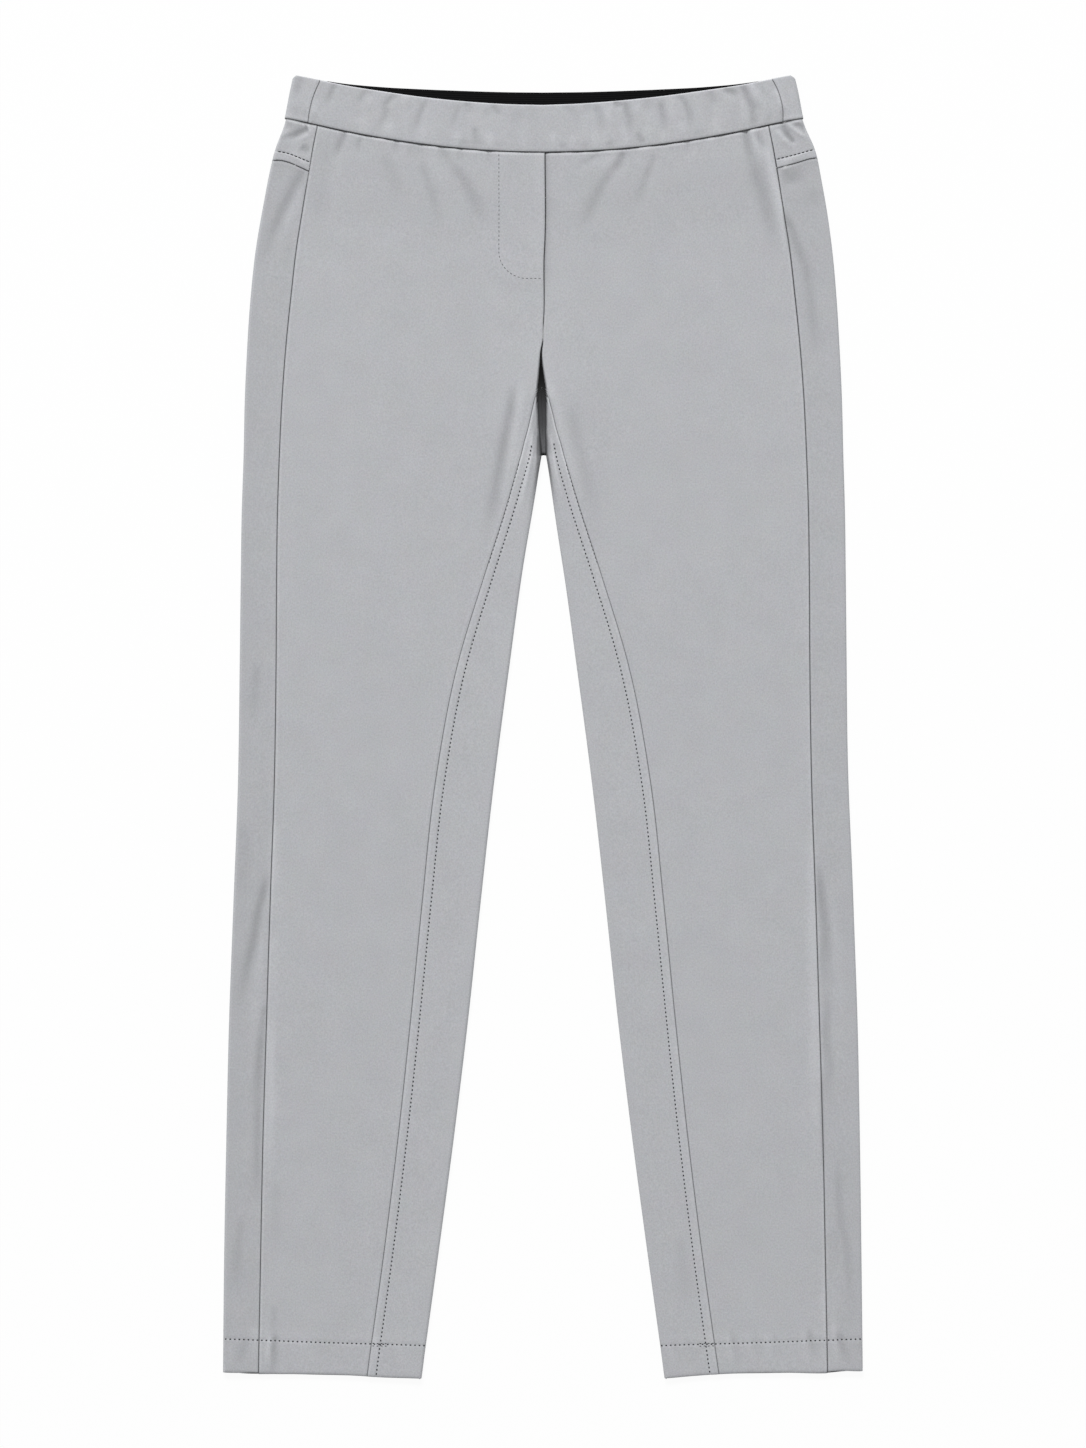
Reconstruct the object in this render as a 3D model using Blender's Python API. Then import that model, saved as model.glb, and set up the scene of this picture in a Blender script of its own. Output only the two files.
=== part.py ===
"""Slim pull-on trousers, laid out flat with the front up.

Every cut-and-sewn piece is a thin wall of cloth in its own object. The back panels wrap round both
edges of each leg on to the front, because the outseams and the inseams lie forward of the edges.

Sizes are in millimetres until a point is placed. x runs across the garment, with the wearer's left
at +x. "Height" runs up the garment from the hem to the waist, along +y. z is up from the surface
that the garment lies on.
"""

import math
from collections import namedtuple

import bmesh
import bpy
import numpy as np
from mathutils import Vector

# ---------------------------------------------------------------- driving dimensions, in millimetres

MM = 0.001
LENGTH = 988.9              # hem to the top corners of the waistband
GAP = 0.3                   # clearance between sewn pieces
CLOTH = 1.2                 # wall of one layer of cloth
BAND_CLOTH = 2.2            # waistband: doubled cloth over elastic
ELASTIC = 1.0               # black inner band
FRONT_BAND_CLOTH = 2.6      # front waistband, with its gathers
FLY_CLOTH = 0.9             # facing under the front
HEM_DEPTH = 25.0            # turned up and stitched
HEM_CLOTH = 1.9             # wall of the turned-up hem
HEM_PEEK = 0.4              # how far the back hem shows below the front one
HEM_STEP = 1.3              # how much shorter the cloth is in front, behind the outseam

LAY = 3.2                   # top of the front layer, where it lies on the back layer
EDGE_RISE = 1.2             # extra height of the front layer beside an edge of the leg
EDGE_REACH = 12.0
WAIST_RISE = 2.3            # extra height at the waist seam, where it meets the band
WAIST_REACH = 80.0
HEM_RISE = 1.3              # extra height over the turned-up hem
HEM_REACH = 6.0
FLY_RISE = 0.9              # extra height over the fly facing
FLY_MARGIN = 12.0
FLY_REACH = 8.0
FORK_RISE = 2.6             # extra height round the crotch, where seams meet
FORK_REACH = 32.0           # across
FORK_HEIGHT = 735.0
FORK_LENGTH = 48.0
BAND_TOP = 6.4              # top of the waistband
EDGE_FOLD = 2.2             # how far a side fold reaches in from the edge of the leg
BAND_FOLD = 3.2             # the same at the ends of the waistband
SLIT_FLOOR = 2.8            # top of the cloth at the bottom of the crotch slit
SLIT_LIP = 1.5              # how far the cloth rolls over into the slit
CROTCH = 701.0              # height of the crotch, where the legs part
JUNCTION = 752.0            # height where inseam, centre front and centre back meet
SLIT_TOP = 784.0            # height where the centre front closes

FLY_WIDTH = 35.0            # J-stitch, measured from the centre front
FLY_INSET = 1.5             # the facing ends this far inside it
FLY_BOTTOM = 835.0
FLY_RADIUS = 21.0

BAND_SIDE_LOW = 196.4       # sides of the waistband, at its bottom and top edges
BAND_SIDE_HIGH = 190.6
BAND_CORNER = 2.2           # how far its top corners are rounded down
INNER_BAND_STATIONS = (-164, -153, -122, -86, -45, 0, 45, 86, 122, 153, 164)
INNER_BAND_DEPTH = 33.0

HEM_FADE = 100.0            # rows of faces follow the hem up to this height
WAIST_FADE = 110.0          # and the waist or yoke seam from this far below it
SIDE_CORNER = 177.5         # where outseam and yoke seam meet
YOKE_MIDDLE = 174.0         # the outseam, beside the yoke
YOKE_LOW, YOKE_HIGH = 924.0, 956.0

# ---------------------------------------------------------------- sections, one half, in millimetres

Leg = namedtuple("Leg", "height outer_edge outseam inseam inner_edge")
LEGS = (
    Leg(0, 243.0, 216.4, 134.0, 92.4),
    Leg(90, 242.0, 214.7, 121.5, 80.0),
    Leg(180, 240.8, 212.9, 110.4, 68.0),
    Leg(270, 238.9, 210.2, 100.8, 57.1),
    Leg(360, 235.4, 207.4, 91.9, 47.5),
    Leg(450, 231.8, 204.3, 82.1, 37.4),
    Leg(540, 230.3, 202.9, 65.3, 25.6),
    Leg(610, 229.6, 202.5, 44.3, 16.0),
    Leg(660, 229.1, 201.8, 28.2, 8.0),
    Leg(701, 228.0, 200.4, 16.2, 2.1),
)

Hip = namedtuple("Hip", "height outer_edge outseam")
HIPS = (
    Hip(745, 226.9, 198.3),
    Hip(785, 224.8, 195.3),
    Hip(826, 221.9, 191.1),
    Hip(856, 218.9, 187.7),
    Hip(887, 214.3, 182.8),
    Hip(917, 208.2, 177.8),
    Hip(934, 204.2, 174.8),
    Hip(957, 196.5, 170.3),
    Hip(975, 193.4, 168.0),
    Hip(990, 190.0, 166.0),
)

# The crotch slit: half its width, and the inseam as it runs up into it.
Slit = namedtuple("Slit", "height half_width inseam")
SLITS = (
    Slit(701, 2.1, 16.2),
    Slit(710, 2.8, 13.9),
    Slit(720, 3.3, 11.0),
    Slit(736, 3.8, 7.3),
    Slit(746, 3.7, 4.4),
    Slit(752, 3.4, 0.0),
    Slit(759, 2.5, 0.0),
    Slit(766, 1.7, 0.0),
    Slit(773, 1.1, 0.0),
    Slit(784, 0.5, 0.0),
)

# Seams and edges that run across the garment: height at a distance from the centre line.
Across = namedtuple("Across", "x waist_seam band_top back_waist_seam back_band_top back_yoke_seam")
ACROSS = (
    Across(0, 930.4, 966.5, 940.0, 976.6, 897.0),
    Across(30, 931.1, 967.5, 940.6, 976.9, 898.8),
    Across(60, 933.1, 969.7, 941.6, 977.8, 901.7),
    Across(90, 936.4, 972.8, 943.3, 979.0, 905.6),
    Across(122, 941.2, 977.2, 946.0, 980.7, 911.0),
    Across(153, 947.0, 982.1, 949.6, 983.6, 916.0),
    Across(172, 951.2, 986.0, 952.8, 986.4, 919.0),
    Across(196, 956.0, 990.0, 956.0, 988.8, 922.6),
    Across(210, 958.0, 990.0, 958.0, 989.0, 924.3),
)
# Side seams of the waistband, at a share of its depth, on the wearer's right and left.
BandSeam = namedtuple("BandSeam", "share right left")
BAND_SEAMS = (
    BandSeam(0.0, 178.6, 182.2),
    BandSeam(0.5, 175.7, 180.9),
    BandSeam(1.0, 169.6, 174.3),
)
FRONT_YOKE_SEAM = ((170, 916.0), (177.5, 917.5), (207, 924.0))
HEM_LINE = ((92.4, 0.0), (170, 2.2), (243, 5.0))

# The largest folds of the front layer, each from one point to another, + is a ridge.
Fold = namedtuple("Fold", "x1 height1 x2 height2 half_width depth")
FOLDS = (
    Fold(-22, 755, -42, 640, 6.0, -0.45),
    Fold(22, 745, 42, 640, 6.0, -0.35),
    Fold(156, 935, 177, 865, 6.0, -0.50),
    Fold(-76, 930, -46, 878, 6.0, -0.40),
    Fold(60, 925, 36, 885, 6.0, -0.40),
    Fold(-210, 375, -229, 285, 5.0, -0.45),
    Fold(210, 380, 216, 290, 5.0, -0.40),
)

# Heights of the rows of faces along a leg and over the hips.
LEG_ROWS = (0, 24, 31, 100, 180, 250, 300, 335, 370, 430, 500, 570, 625, 664, 689, 699.5)
CROTCH_ROWS = (702, 705.5, 718, 734, 744)
SLIT_ROWS = (752, 760, 772, 784)
HIP_ROWS = (806, 826, 844, 862, 880, 897)

CLOTH_COLOUR = (0.466, 0.474, 0.496, 1.0)
BLACK = (0.013, 0.013, 0.014, 1.0)


# ---------------------------------------------------------------- curves through the tables

def curve_through(rows):
    """A smooth function through a short table of (where, value) rows, level beyond its ends."""
    where, value = (np.array(column, dtype=float) for column in zip(*rows))
    slope = np.gradient(value, where)

    def at(position):
        position = min(max(position, where[0]), where[-1])
        i = min(int(np.searchsorted(where, position, side="right")) - 1, len(where) - 2)
        span = where[i + 1] - where[i]
        t = (position - where[i]) / span
        start = (1 + 2 * t) * (1 - t) ** 2 * value[i] + t * (1 - t) ** 2 * span * slope[i]
        end = t * t * (3 - 2 * t) * value[i + 1] + t * t * (t - 1) * span * slope[i + 1]
        return float(start + end)

    return at


def column(table, name):
    """One named column of a table, as a smooth function of its first column."""
    return curve_through([(row[0], getattr(row, name)) for row in table])


outer_edge = curve_through([(row.height, row.outer_edge) for row in LEGS + HIPS])
outseam = curve_through([(row.height, row.outseam) for row in LEGS + HIPS])
inner_edge = column(LEGS, "inner_edge")
leg_inseam = column(LEGS, "inseam")
slit_inseam = column(SLITS, "inseam")
slit_half_width = column(SLITS, "half_width")
waist_seam = column(ACROSS, "waist_seam")
band_top = column(ACROSS, "band_top")
back_waist_seam = column(ACROSS, "back_waist_seam")
back_band_top = column(ACROSS, "back_band_top")
back_yoke_seam = column(ACROSS, "back_yoke_seam")
front_yoke_seam = curve_through(FRONT_YOKE_SEAM)
band_seams = {-1: column(BAND_SEAMS, "right"), 1: column(BAND_SEAMS, "left")}
hem_line = curve_through(HEM_LINE)


def inseam(height):
    """Distance of the inseam from the centre line, up the leg and on into the slit."""
    return leg_inseam(height) if height < CROTCH else max(slit_inseam(height), 0.0)


def mix(a, b, share):
    return a + (b - a) * share


def ease(t):
    """0 to 1, level at both ends."""
    t = min(max(t, 0.0), 1.0)
    return t * t * (3 - 2 * t)


# ---------------------------------------------------------------- how high the front layer lies

def fold_height(x, height):
    """The largest folds, as soft troughs that fade towards their ends."""
    total = 0.0
    for fold in FOLDS:
        run = np.array((fold.x2 - fold.x1, fold.height2 - fold.height1))
        offset = np.array((x - fold.x1, height - fold.height1))
        along = float(offset @ run / (run @ run))
        aside = float(offset[0] * run[1] - offset[1] * run[0]) / math.hypot(*run)
        if 0 < along < 1:
            total += fold.depth * math.sin(math.pi * along) * math.exp(-(aside / fold.half_width) ** 2)
    return total


def fly_share(x, height):
    """1 over the mock fly on the wearer's right, 0 beside it."""
    if x > 0:
        return 0.0
    into = FLY_WIDTH + x
    above = height - FLY_BOTTOM
    if into < FLY_RADIUS and above < FLY_RADIUS:
        into = FLY_RADIUS - math.hypot(FLY_RADIUS - into, FLY_RADIUS - above)
    return ease((min(into, above) + FLY_MARGIN) / FLY_REACH)


def front_height(x, height):
    """Top of the front layer above the surface, for either half."""
    half = abs(x)
    edge = outer_edge(height) - half
    top = LAY + EDGE_RISE * math.exp(-max(edge, 0.0) / EDGE_REACH)
    top += WAIST_RISE * ease(1 - (waist_seam(half) - height) / WAIST_REACH)
    top += HEM_RISE * ease((HEM_DEPTH + HEM_REACH - height + hem_line(half)) / HEM_REACH)
    top += FLY_RISE * fly_share(x, height)
    top += FORK_RISE * math.exp(-(half / FORK_REACH) ** 2 - ((height - FORK_HEIGHT) / FORK_LENGTH) ** 2)
    if height < CROTCH:
        top += EDGE_RISE * math.exp(-max(half - inner_edge(height), 0.0) / EDGE_REACH)
    top += fold_height(x, height)
    if CROTCH <= height < SLIT_TOP:
        wall = (half - slit_half_width(height)) / SLIT_LIP
        sides = ease(0.15 + wall)
        depth = ease((SLIT_TOP - height) / 24)
        top = mix(top, mix(SLIT_FLOOR, top, sides), depth)
    return top


# ---------------------------------------------------------------- rows of points

# A point on the outer face of the cloth, and the way through the cloth to its inner face.
Point = namedtuple("Point", "x height z into")


def row_on_front(height, x):
    """Height of a row at x: it follows the hem at the bottom and the waist seam at the top."""
    top = waist_seam(0)
    hem = hem_line(x) * (1 - ease(height / HEM_FADE))
    waist = (waist_seam(x) - GAP / 2 - top) * ease((height - top + WAIST_FADE) / WAIST_FADE)
    return height + hem + waist


def row_on_side(height, x):
    """The same for the part of a back panel that shows on the front: it ends at the yoke."""
    top = front_yoke_seam(SIDE_CORNER)
    step = HEM_STEP * ease((LEGS[0].outer_edge - x) / (LEGS[0].outer_edge - LEGS[0].outseam))
    hem = (hem_line(x) + step) * (1 - ease(height / HEM_FADE))
    yoke = (front_yoke_seam(x) - GAP / 2 - top) * ease((height - top + WAIST_FADE) / WAIST_FADE)
    return height + hem + yoke


def row_on_back(height, x):
    """The same on the back, which lies under the front."""
    top = front_yoke_seam(SIDE_CORNER)
    across_leg = (x - LEGS[0].inner_edge) / (LEGS[0].outer_edge - LEGS[0].inner_edge)
    peek = HEM_PEEK * math.sin(math.pi * ease(across_leg))
    hem = (hem_line(x) - peek) * (1 - ease(height / HEM_FADE))
    yoke = (back_yoke_seam(x) - GAP / 2 - top) * ease((height - top + WAIST_FADE) / WAIST_FADE)
    return height + hem + yoke


def crossing(height, line, row):
    """x where a lengthwise line meets a row."""
    x = line(height)
    for _ in range(4):
        x = line(row(height, x))
    return x


def wall(x, height):
    """Wall of a leg panel: the turned-up hem doubles it."""
    above_hem = height - hem_line(abs(x))
    return HEM_CLOTH if above_hem < HEM_DEPTH + 2 else CLOTH


def on_front(side, x, height):
    """A point on top of the front layer."""
    return Point(side * x, height, front_height(side * x, height), (0, 0, -wall(x, height)))


def on_back(side, x, height):
    """A point on the underside."""
    return Point(side * x, height, 0.0, (0, 0, wall(x, height)))


def round_edge(side, edge, inward, height, top, degrees, thickness):
    """A point on a fold, from 90 degrees on top, through 0 at the edge, to -90 underneath."""
    turn = math.radians(degrees)
    x = side * (edge + inward * (1 - math.cos(turn)))
    sideways = side * math.copysign(math.cos(turn), inward)
    into = (sideways * thickness, 0, -math.sin(turn) * thickness)
    return Point(x, height, top / 2 * (1 + math.sin(turn)), into)


def front_stations(height):
    """Where the columns of a front panel cross a row, from the outseam inwards."""
    outer = crossing(height, outseam, row_on_front) - GAP / 2
    inner = crossing(height, inseam, row_on_front) + GAP / 2
    if height >= JUNCTION - 8:
        lip = slit_half_width(height)
        near = (FLY_WIDTH + 2, 10.0, lip + SLIT_LIP, lip + 0.45 * SLIT_LIP, lip - 0.2)
        near = [max(x, inner + step) for x, step in zip(near, (24.0, 9.0, 1.6, 0.9, 0.4))]
    else:
        near = [inner + step for step in (30.0, 16.0, 8.0, 4.0, 1.6)]
    spread = [mix(outer - 13.0, near[0], share) for share in (0, 0.33, 0.67)]
    return [outer, outer - 3.0] + spread + near + [inner]


def front_panel_row(side, height):
    """Outseam to inseam or centre front, on top."""
    return [on_front(side, x, row_on_front(height, x)) for x in front_stations(height)]


def inner_side_row(side, height):
    """Inseam to the inner edge of the leg, or down into the slit, on top."""
    seam = crossing(height, inseam, row_on_front) - GAP / 2
    if height < CROTCH:
        edge = crossing(height, inner_edge, row_on_front)
        start = edge + EDGE_FOLD
        top = front_height(side * start, height)
        level = row_on_front(height, edge)
        thickness = wall(edge, level)
        ends = [round_edge(side, edge, EDGE_FOLD, level, top, turn, thickness) for turn in (45, 0)]
    else:
        lip = slit_half_width(height)
        start = min(lip + SLIT_LIP, mix(GAP / 2, seam, 0.75))
        slope = min(lip + 0.3 * SLIT_LIP, mix(GAP / 2, seam, 0.5))
        bottom = Point(side * GAP / 2, height, SLIT_FLOOR, (0, 0, -CLOTH))
        ends = [on_front(side, slope, height), bottom if height > CROTCH_ROWS[0] else crotch_tip(side)]
    xs = [mix(seam, start, share) for share in (0, 0.4, 0.8, 1)]
    return [on_front(side, x, row_on_front(height, x)) for x in xs] + ends


def crotch_tip(side):
    """Where the floor of the slit folds under and becomes the back."""
    return Point(side * GAP / 2, CROTCH_ROWS[0], SLIT_FLOOR / 2, (0, CLOTH, 0))


def back_stations(last):
    """Where the columns of a back panel or yoke lie above the crotch, from the centre back outwards."""
    return [GAP / 2, 1.3] + [mix(4.0, last, share) for share in (0, 0.35, 0.7, 1)]


def back_row(side, height):
    """Inner edge of the leg or centre back, across underneath, round the outer edge to the outseam."""
    outer = crossing(height, outer_edge, row_on_side)
    last = outer - EDGE_FOLD
    if height < CROTCH:
        edge = crossing(height, inner_edge, row_on_back)
        top = front_height(side * (edge + EDGE_FOLD), height)
        thickness = wall(edge, height)
        upper = round_edge(side, edge, EDGE_FOLD, row_on_front(height, edge), top, 0, thickness)
        lower = round_edge(side, edge, EDGE_FOLD, row_on_back(height, edge), top, -45, thickness)
        first = edge + EDGE_FOLD
        xs = [mix(first, last, share) for share in (0, 0.35, 0.7, 1)]
        points = [upper, lower] + [on_back(side, x, row_on_back(height, x)) for x in xs]
    else:
        points = [on_back(side, x, row_on_back(height, x)) for x in back_stations(last)]
        if height == CROTCH_ROWS[0]:
            tip_side = Point(side * 1.3, height, 0.35, (0, 0.6 * CLOTH, 0.8 * CLOTH))
            points[:2] = [crotch_tip(side), tip_side]
    level = row_on_side(height, outer)
    top = front_height(side * last, level)
    thickness = wall(outer, level)
    points += [round_edge(side, outer, -EDGE_FOLD, level, top, turn, thickness) for turn in (-45, 0, 45)]
    seam = crossing(height, outseam, row_on_side) + GAP / 2
    for share in (0, 0.5, 0.92, 1):
        x = mix(last, seam, share)
        points.append(on_front(side, x, row_on_side(height, x)))
    return points


def yoke_row(side, share):
    """Outseam round the side to centre back, at a share of the way from yoke seam to waist seam."""
    def level(x, low, high):
        return mix(low(x) + GAP / 2, high(x) - GAP / 2, share)

    def front_level(x):
        return level(x, front_yoke_seam, waist_seam)

    def back_level(x):
        return level(x, back_yoke_seam, back_waist_seam)

    seam = outseam(front_level(YOKE_MIDDLE)) + GAP / 2
    outer = outer_edge(front_level(outer_edge(mix(YOKE_LOW, YOKE_HIGH, share))))
    last = outer - EDGE_FOLD
    top = front_height(side * last, front_level(last))
    points = []
    for part in (0, 0.35, 0.7, 1):
        x = mix(seam, last, part)
        points.append(on_front(side, x, front_level(x)))
    points += [round_edge(side, outer, -EDGE_FOLD, front_level(outer), top, turn, CLOTH)
               for turn in (45, 0, -45)]
    points += [on_back(side, x, back_level(x)) for x in reversed(back_stations(last))]
    return points


def band_front_row(share):
    """The front waistband from side seam to side seam, at a share of its depth."""
    stations = [x for x in front_stations(waist_seam(0)) if x > 2.0]
    halves = {}
    for side, seam in band_seams.items():
        reach = seam(share) - GAP / 2
        narrowing = reach / (seam(0) - GAP / 2)
        halves[side] = [side * reach] + [side * narrowing * x for x in stations]
    points = []
    for x in halves[-1] + [0.0] + halves[1][::-1]:
        height = mix(waist_seam(abs(x)) + GAP / 2, band_top(abs(x)), share)
        points.append(Point(x, height, BAND_TOP, (0, 0, -FRONT_BAND_CLOTH)))
    return points


def band_back_half(side, share):
    """Half of the back waistband, from its side seam round to the centre back."""
    seam = band_seams[side](share) + GAP / 2
    outer = mix(BAND_SIDE_LOW, BAND_SIDE_HIGH, share)
    corner = BAND_CORNER * ease(2 * share - 1)
    last = outer - BAND_FOLD
    points = []
    for part in (0, 0.55, 1):
        x = mix(seam, last, part)
        height = mix(waist_seam(x) + GAP / 2, band_top(x), share)
        points.append(Point(side * x, height, BAND_TOP, (0, 0, -BAND_CLOTH)))
    level = mix(waist_seam(outer) + GAP / 2, band_top(outer) - corner, share)
    points += [round_edge(side, outer, -BAND_FOLD, level, BAND_TOP, turn, BAND_CLOTH)
               for turn in (45, 0, -45)]
    across = [x for x in back_stations(last) if x > 2.0]
    for x in reversed([0.0] + across):
        height = mix(back_waist_seam(x) + GAP / 2, back_band_top(x), share)
        points.append(Point(side * x, height, 0.0, (0, 0, BAND_CLOTH)))
    return points


def inner_band_row(share):
    """The black elastic on the inside of the back waistband."""
    points = []
    for x in INNER_BAND_STATIONS:
        top = back_band_top(abs(x))
        height = mix(top - INNER_BAND_DEPTH, top, share)
        points.append(Point(x, height, BAND_CLOTH + GAP + ELASTIC, (0, 0, -ELASTIC)))
    return points


def fly_row(height):
    """The fly facing, under the wearer's right front panel: its outer edge turns in a J."""
    below = max(FLY_BOTTOM + FLY_RADIUS - height, 0.0)
    turn = FLY_RADIUS - math.sqrt(FLY_RADIUS ** 2 - below ** 2)
    outer = FLY_WIDTH - FLY_INSET - turn
    top = CLOTH + GAP + FLY_CLOTH
    into = (0, 0, -FLY_CLOTH)
    return [Point(-mix(outer, 1.0, share), height, top, into) for share in (0, 0.5, 1)]


# ---------------------------------------------------------------- from rows to cloth

def place(x, height, z):
    """Millimetres on the garment to metres in the scene."""
    return Vector((x, height - LENGTH / 2, z)) * MM


def sheet(bm, rows, through):
    """Add one grid of faces through rows of points, and note the way through the cloth at each."""
    across, along = len(rows[0]), len(rows)
    made = bmesh.ops.create_grid(bm, x_segments=across - 1, y_segments=along - 1, size=1.0)
    for vert, point in zip(made["verts"], (point for row in rows for point in row)):
        vert.co = place(point.x, point.height, point.z)
        vert[through] = Vector(point.into) * MM


def cloth_material(name, colour, roughness):
    material = bpy.data.materials.new(name)
    material.use_nodes = True
    shader = material.node_tree.nodes["Principled BSDF"]
    shader.inputs["Base Color"].default_value = colour
    shader.inputs["Roughness"].default_value = roughness
    shader.inputs["Metallic"].default_value = 0.0
    return material


def piece(name, sheets, material, rounding=0.0):
    """Join sheets of faces where their points meet, and give them the wall of one piece of cloth."""
    bm = bmesh.new()
    through = bm.verts.layers.float_vector.new("through")
    for rows in sheets:
        sheet(bm, rows, through)
    bmesh.ops.remove_doubles(bm, verts=bm.verts, dist=0.001 * MM)
    made = bmesh.ops.extrude_face_region(bm, geom=bm.faces[:], use_keep_orig=True)
    for vert in made["geom"]:
        if isinstance(vert, bmesh.types.BMVert):
            vert.co += vert[through]
    bmesh.ops.recalc_face_normals(bm, faces=bm.faces)

    mesh = bpy.data.meshes.new(name)
    bm.to_mesh(mesh)
    bm.free()
    mesh.shade_smooth()
    mesh.set_sharp_from_angle(angle=math.radians(50))
    mesh.materials.append(material)
    body = bpy.data.objects.new(name, mesh)
    bpy.context.collection.objects.link(body)
    if rounding:
        bevel = body.modifiers.new("Rounded edges", "BEVEL")
        bevel.width = rounding * MM
        bevel.segments = 2
        bevel.limit_method = "ANGLE"
        bevel.angle_limit = math.radians(60)


# ---------------------------------------------------------------- the pieces

def make_half(side, name, cloth):
    """Front panel, back panel and yoke of one half."""
    shared_heights = LEG_ROWS + CROTCH_ROWS + SLIT_ROWS + HIP_ROWS
    front_heights = shared_heights + (909, 920, waist_seam(0))
    front_rows = [front_panel_row(side, height) for height in front_heights]
    piece("front_panel_" + name, [front_rows], cloth)

    strip_heights = LEG_ROWS + CROTCH_ROWS + (JUNCTION - 1.0,)
    strip_rows = [inner_side_row(side, height) for height in strip_heights]
    back_heights = shared_heights + (front_yoke_seam(SIDE_CORNER),)
    back_rows = [back_row(side, height) for height in back_heights]
    piece("back_panel_" + name, [strip_rows, back_rows], cloth)

    yoke_rows = [yoke_row(side, share) for share in (0, 0.5, 1)]
    piece("yoke_" + name, [yoke_rows], cloth)


def make_waistband(cloth, elastic):
    shares = (0, 0.5, 1)
    front_rows = [band_front_row(share) for share in shares]
    piece("waistband_front", [front_rows], cloth, rounding=0.8)
    back_rows = [band_back_half(-1, share) + band_back_half(1, share)[-2::-1] for share in shares]
    piece("waistband_back", [back_rows], cloth, rounding=0.7)
    piece("inner_band", [[inner_band_row(0), inner_band_row(1)]], elastic)


def make_mock_fly(cloth):
    heights = [FLY_BOTTOM + above for above in (0.6, 3, 9, FLY_RADIUS, 57, 93)]
    piece("mock_fly", [[fly_row(height) for height in heights]], cloth)


def main():
    for old in list(bpy.data.objects):
        bpy.data.objects.remove(old, do_unlink=True)
    cloth = cloth_material("grey_stretch_cloth", CLOTH_COLOUR, 0.75)
    elastic = cloth_material("black_elastic", BLACK, 0.8)
    make_half(-1, "right", cloth)
    make_half(1, "left", cloth)
    make_waistband(cloth, elastic)
    make_mock_fly(cloth)


main()
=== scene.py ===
# %% [markdown]
# # Slim pull-on trousers, laid out flat
#
# This notebook dresses a plain model of a pair of trousers: thin shells of cloth take the place of the
# plain solids, panel by panel, and thread, elastic, light and a camera are added.
# Sizes are in millimetres until a point is placed. x runs across the garment, with the wearer's left
# at +x. Height runs up from the hem to the waist, along +y. z is up from the table.

import math
from collections import namedtuple

import bmesh
import bpy
import numpy as np
from mathutils import Matrix, Vector


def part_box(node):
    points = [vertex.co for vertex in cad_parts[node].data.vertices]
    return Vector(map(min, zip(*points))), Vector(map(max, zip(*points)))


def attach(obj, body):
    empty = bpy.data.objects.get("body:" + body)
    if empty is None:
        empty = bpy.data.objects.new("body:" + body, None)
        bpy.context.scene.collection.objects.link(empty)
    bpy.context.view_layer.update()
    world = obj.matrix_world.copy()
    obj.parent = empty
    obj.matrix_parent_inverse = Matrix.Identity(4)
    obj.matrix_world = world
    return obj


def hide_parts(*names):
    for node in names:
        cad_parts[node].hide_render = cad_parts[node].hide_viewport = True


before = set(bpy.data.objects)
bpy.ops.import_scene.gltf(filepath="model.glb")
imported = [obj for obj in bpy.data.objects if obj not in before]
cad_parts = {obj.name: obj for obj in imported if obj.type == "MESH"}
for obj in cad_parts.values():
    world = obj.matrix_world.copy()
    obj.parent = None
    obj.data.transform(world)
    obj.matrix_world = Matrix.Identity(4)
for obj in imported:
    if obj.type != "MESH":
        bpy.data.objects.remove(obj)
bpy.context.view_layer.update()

MM = 0.001
LENGTH = 988.9              # hem to the top corners of the waistband
GAP = 0.26                  # between sewn pieces
INSEAM_GAP = 0.08           # the inseam is pressed flat, so it closes tighter
CLOTH = 0.8                 # wall of one layer
HEM_CLOTH = 1.7             # wall where the hem is turned up
HEM_DEPTH = 25.0
HEM_PEEK = 0.4              # how far the back hem shows below the front one
HEM_STEP = 1.3              # how much shorter the cloth is in front, behind the outseam
LAY = 3.2                   # top of the front layer, where it lies on the back layer
EDGE_FOLD = 2.2             # how far a side fold reaches in from the edge of a leg
SLIT_FLOOR = 2.8            # height of the bottom of the crotch slit above the table
SLIT_LIP = 0.9              # how wide its rounded edge is
CROTCH = 701.0              # where the legs part
CROTCH_TIP = 702.0          # where the floor of the slit turns under and becomes the back
JUNCTION = 752.0            # where inseam, centre front and centre back meet
YOKE_CORNER = 177.5         # half width where the outseam meets the yoke seam
SLIT_TOP = 784.0            # where it runs out into the flat front
FLY_WIDTH = 33.8
FLY_BOTTOM = 835.0
FLY_RADIUS = 21.0
print("the garment is", LENGTH, "mm long")

# %% [markdown]
# ## The lines of the pattern
#
# Every seam and edge is a smooth curve through a few measured heights. The same curves shape every
# piece, so two pieces that are sewn together always meet. They could be drawn as Blender curves, but a
# short table with a smooth function through it is easier to read and to change.

# %% Curves through tables
def curve_through(rows):
    """A smooth function through (where, value) rows, level beyond its ends. It takes whole arrays."""
    where, value = np.array(rows, dtype=float).T
    slope = np.gradient(value, where)

    def at(position):
        position = np.clip(position, where[0], where[-1])
        i = np.clip(np.searchsorted(where, position, side="right") - 1, 0, len(where) - 2)
        span = where[i + 1] - where[i]
        t = (position - where[i]) / span
        start = (1 + 2 * t) * (1 - t) ** 2 * value[i] + t * (1 - t) ** 2 * span * slope[i]
        end = t * t * (3 - 2 * t) * value[i + 1] + t * t * (t - 1) * span * slope[i + 1]
        return start + end

    return at


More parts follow.
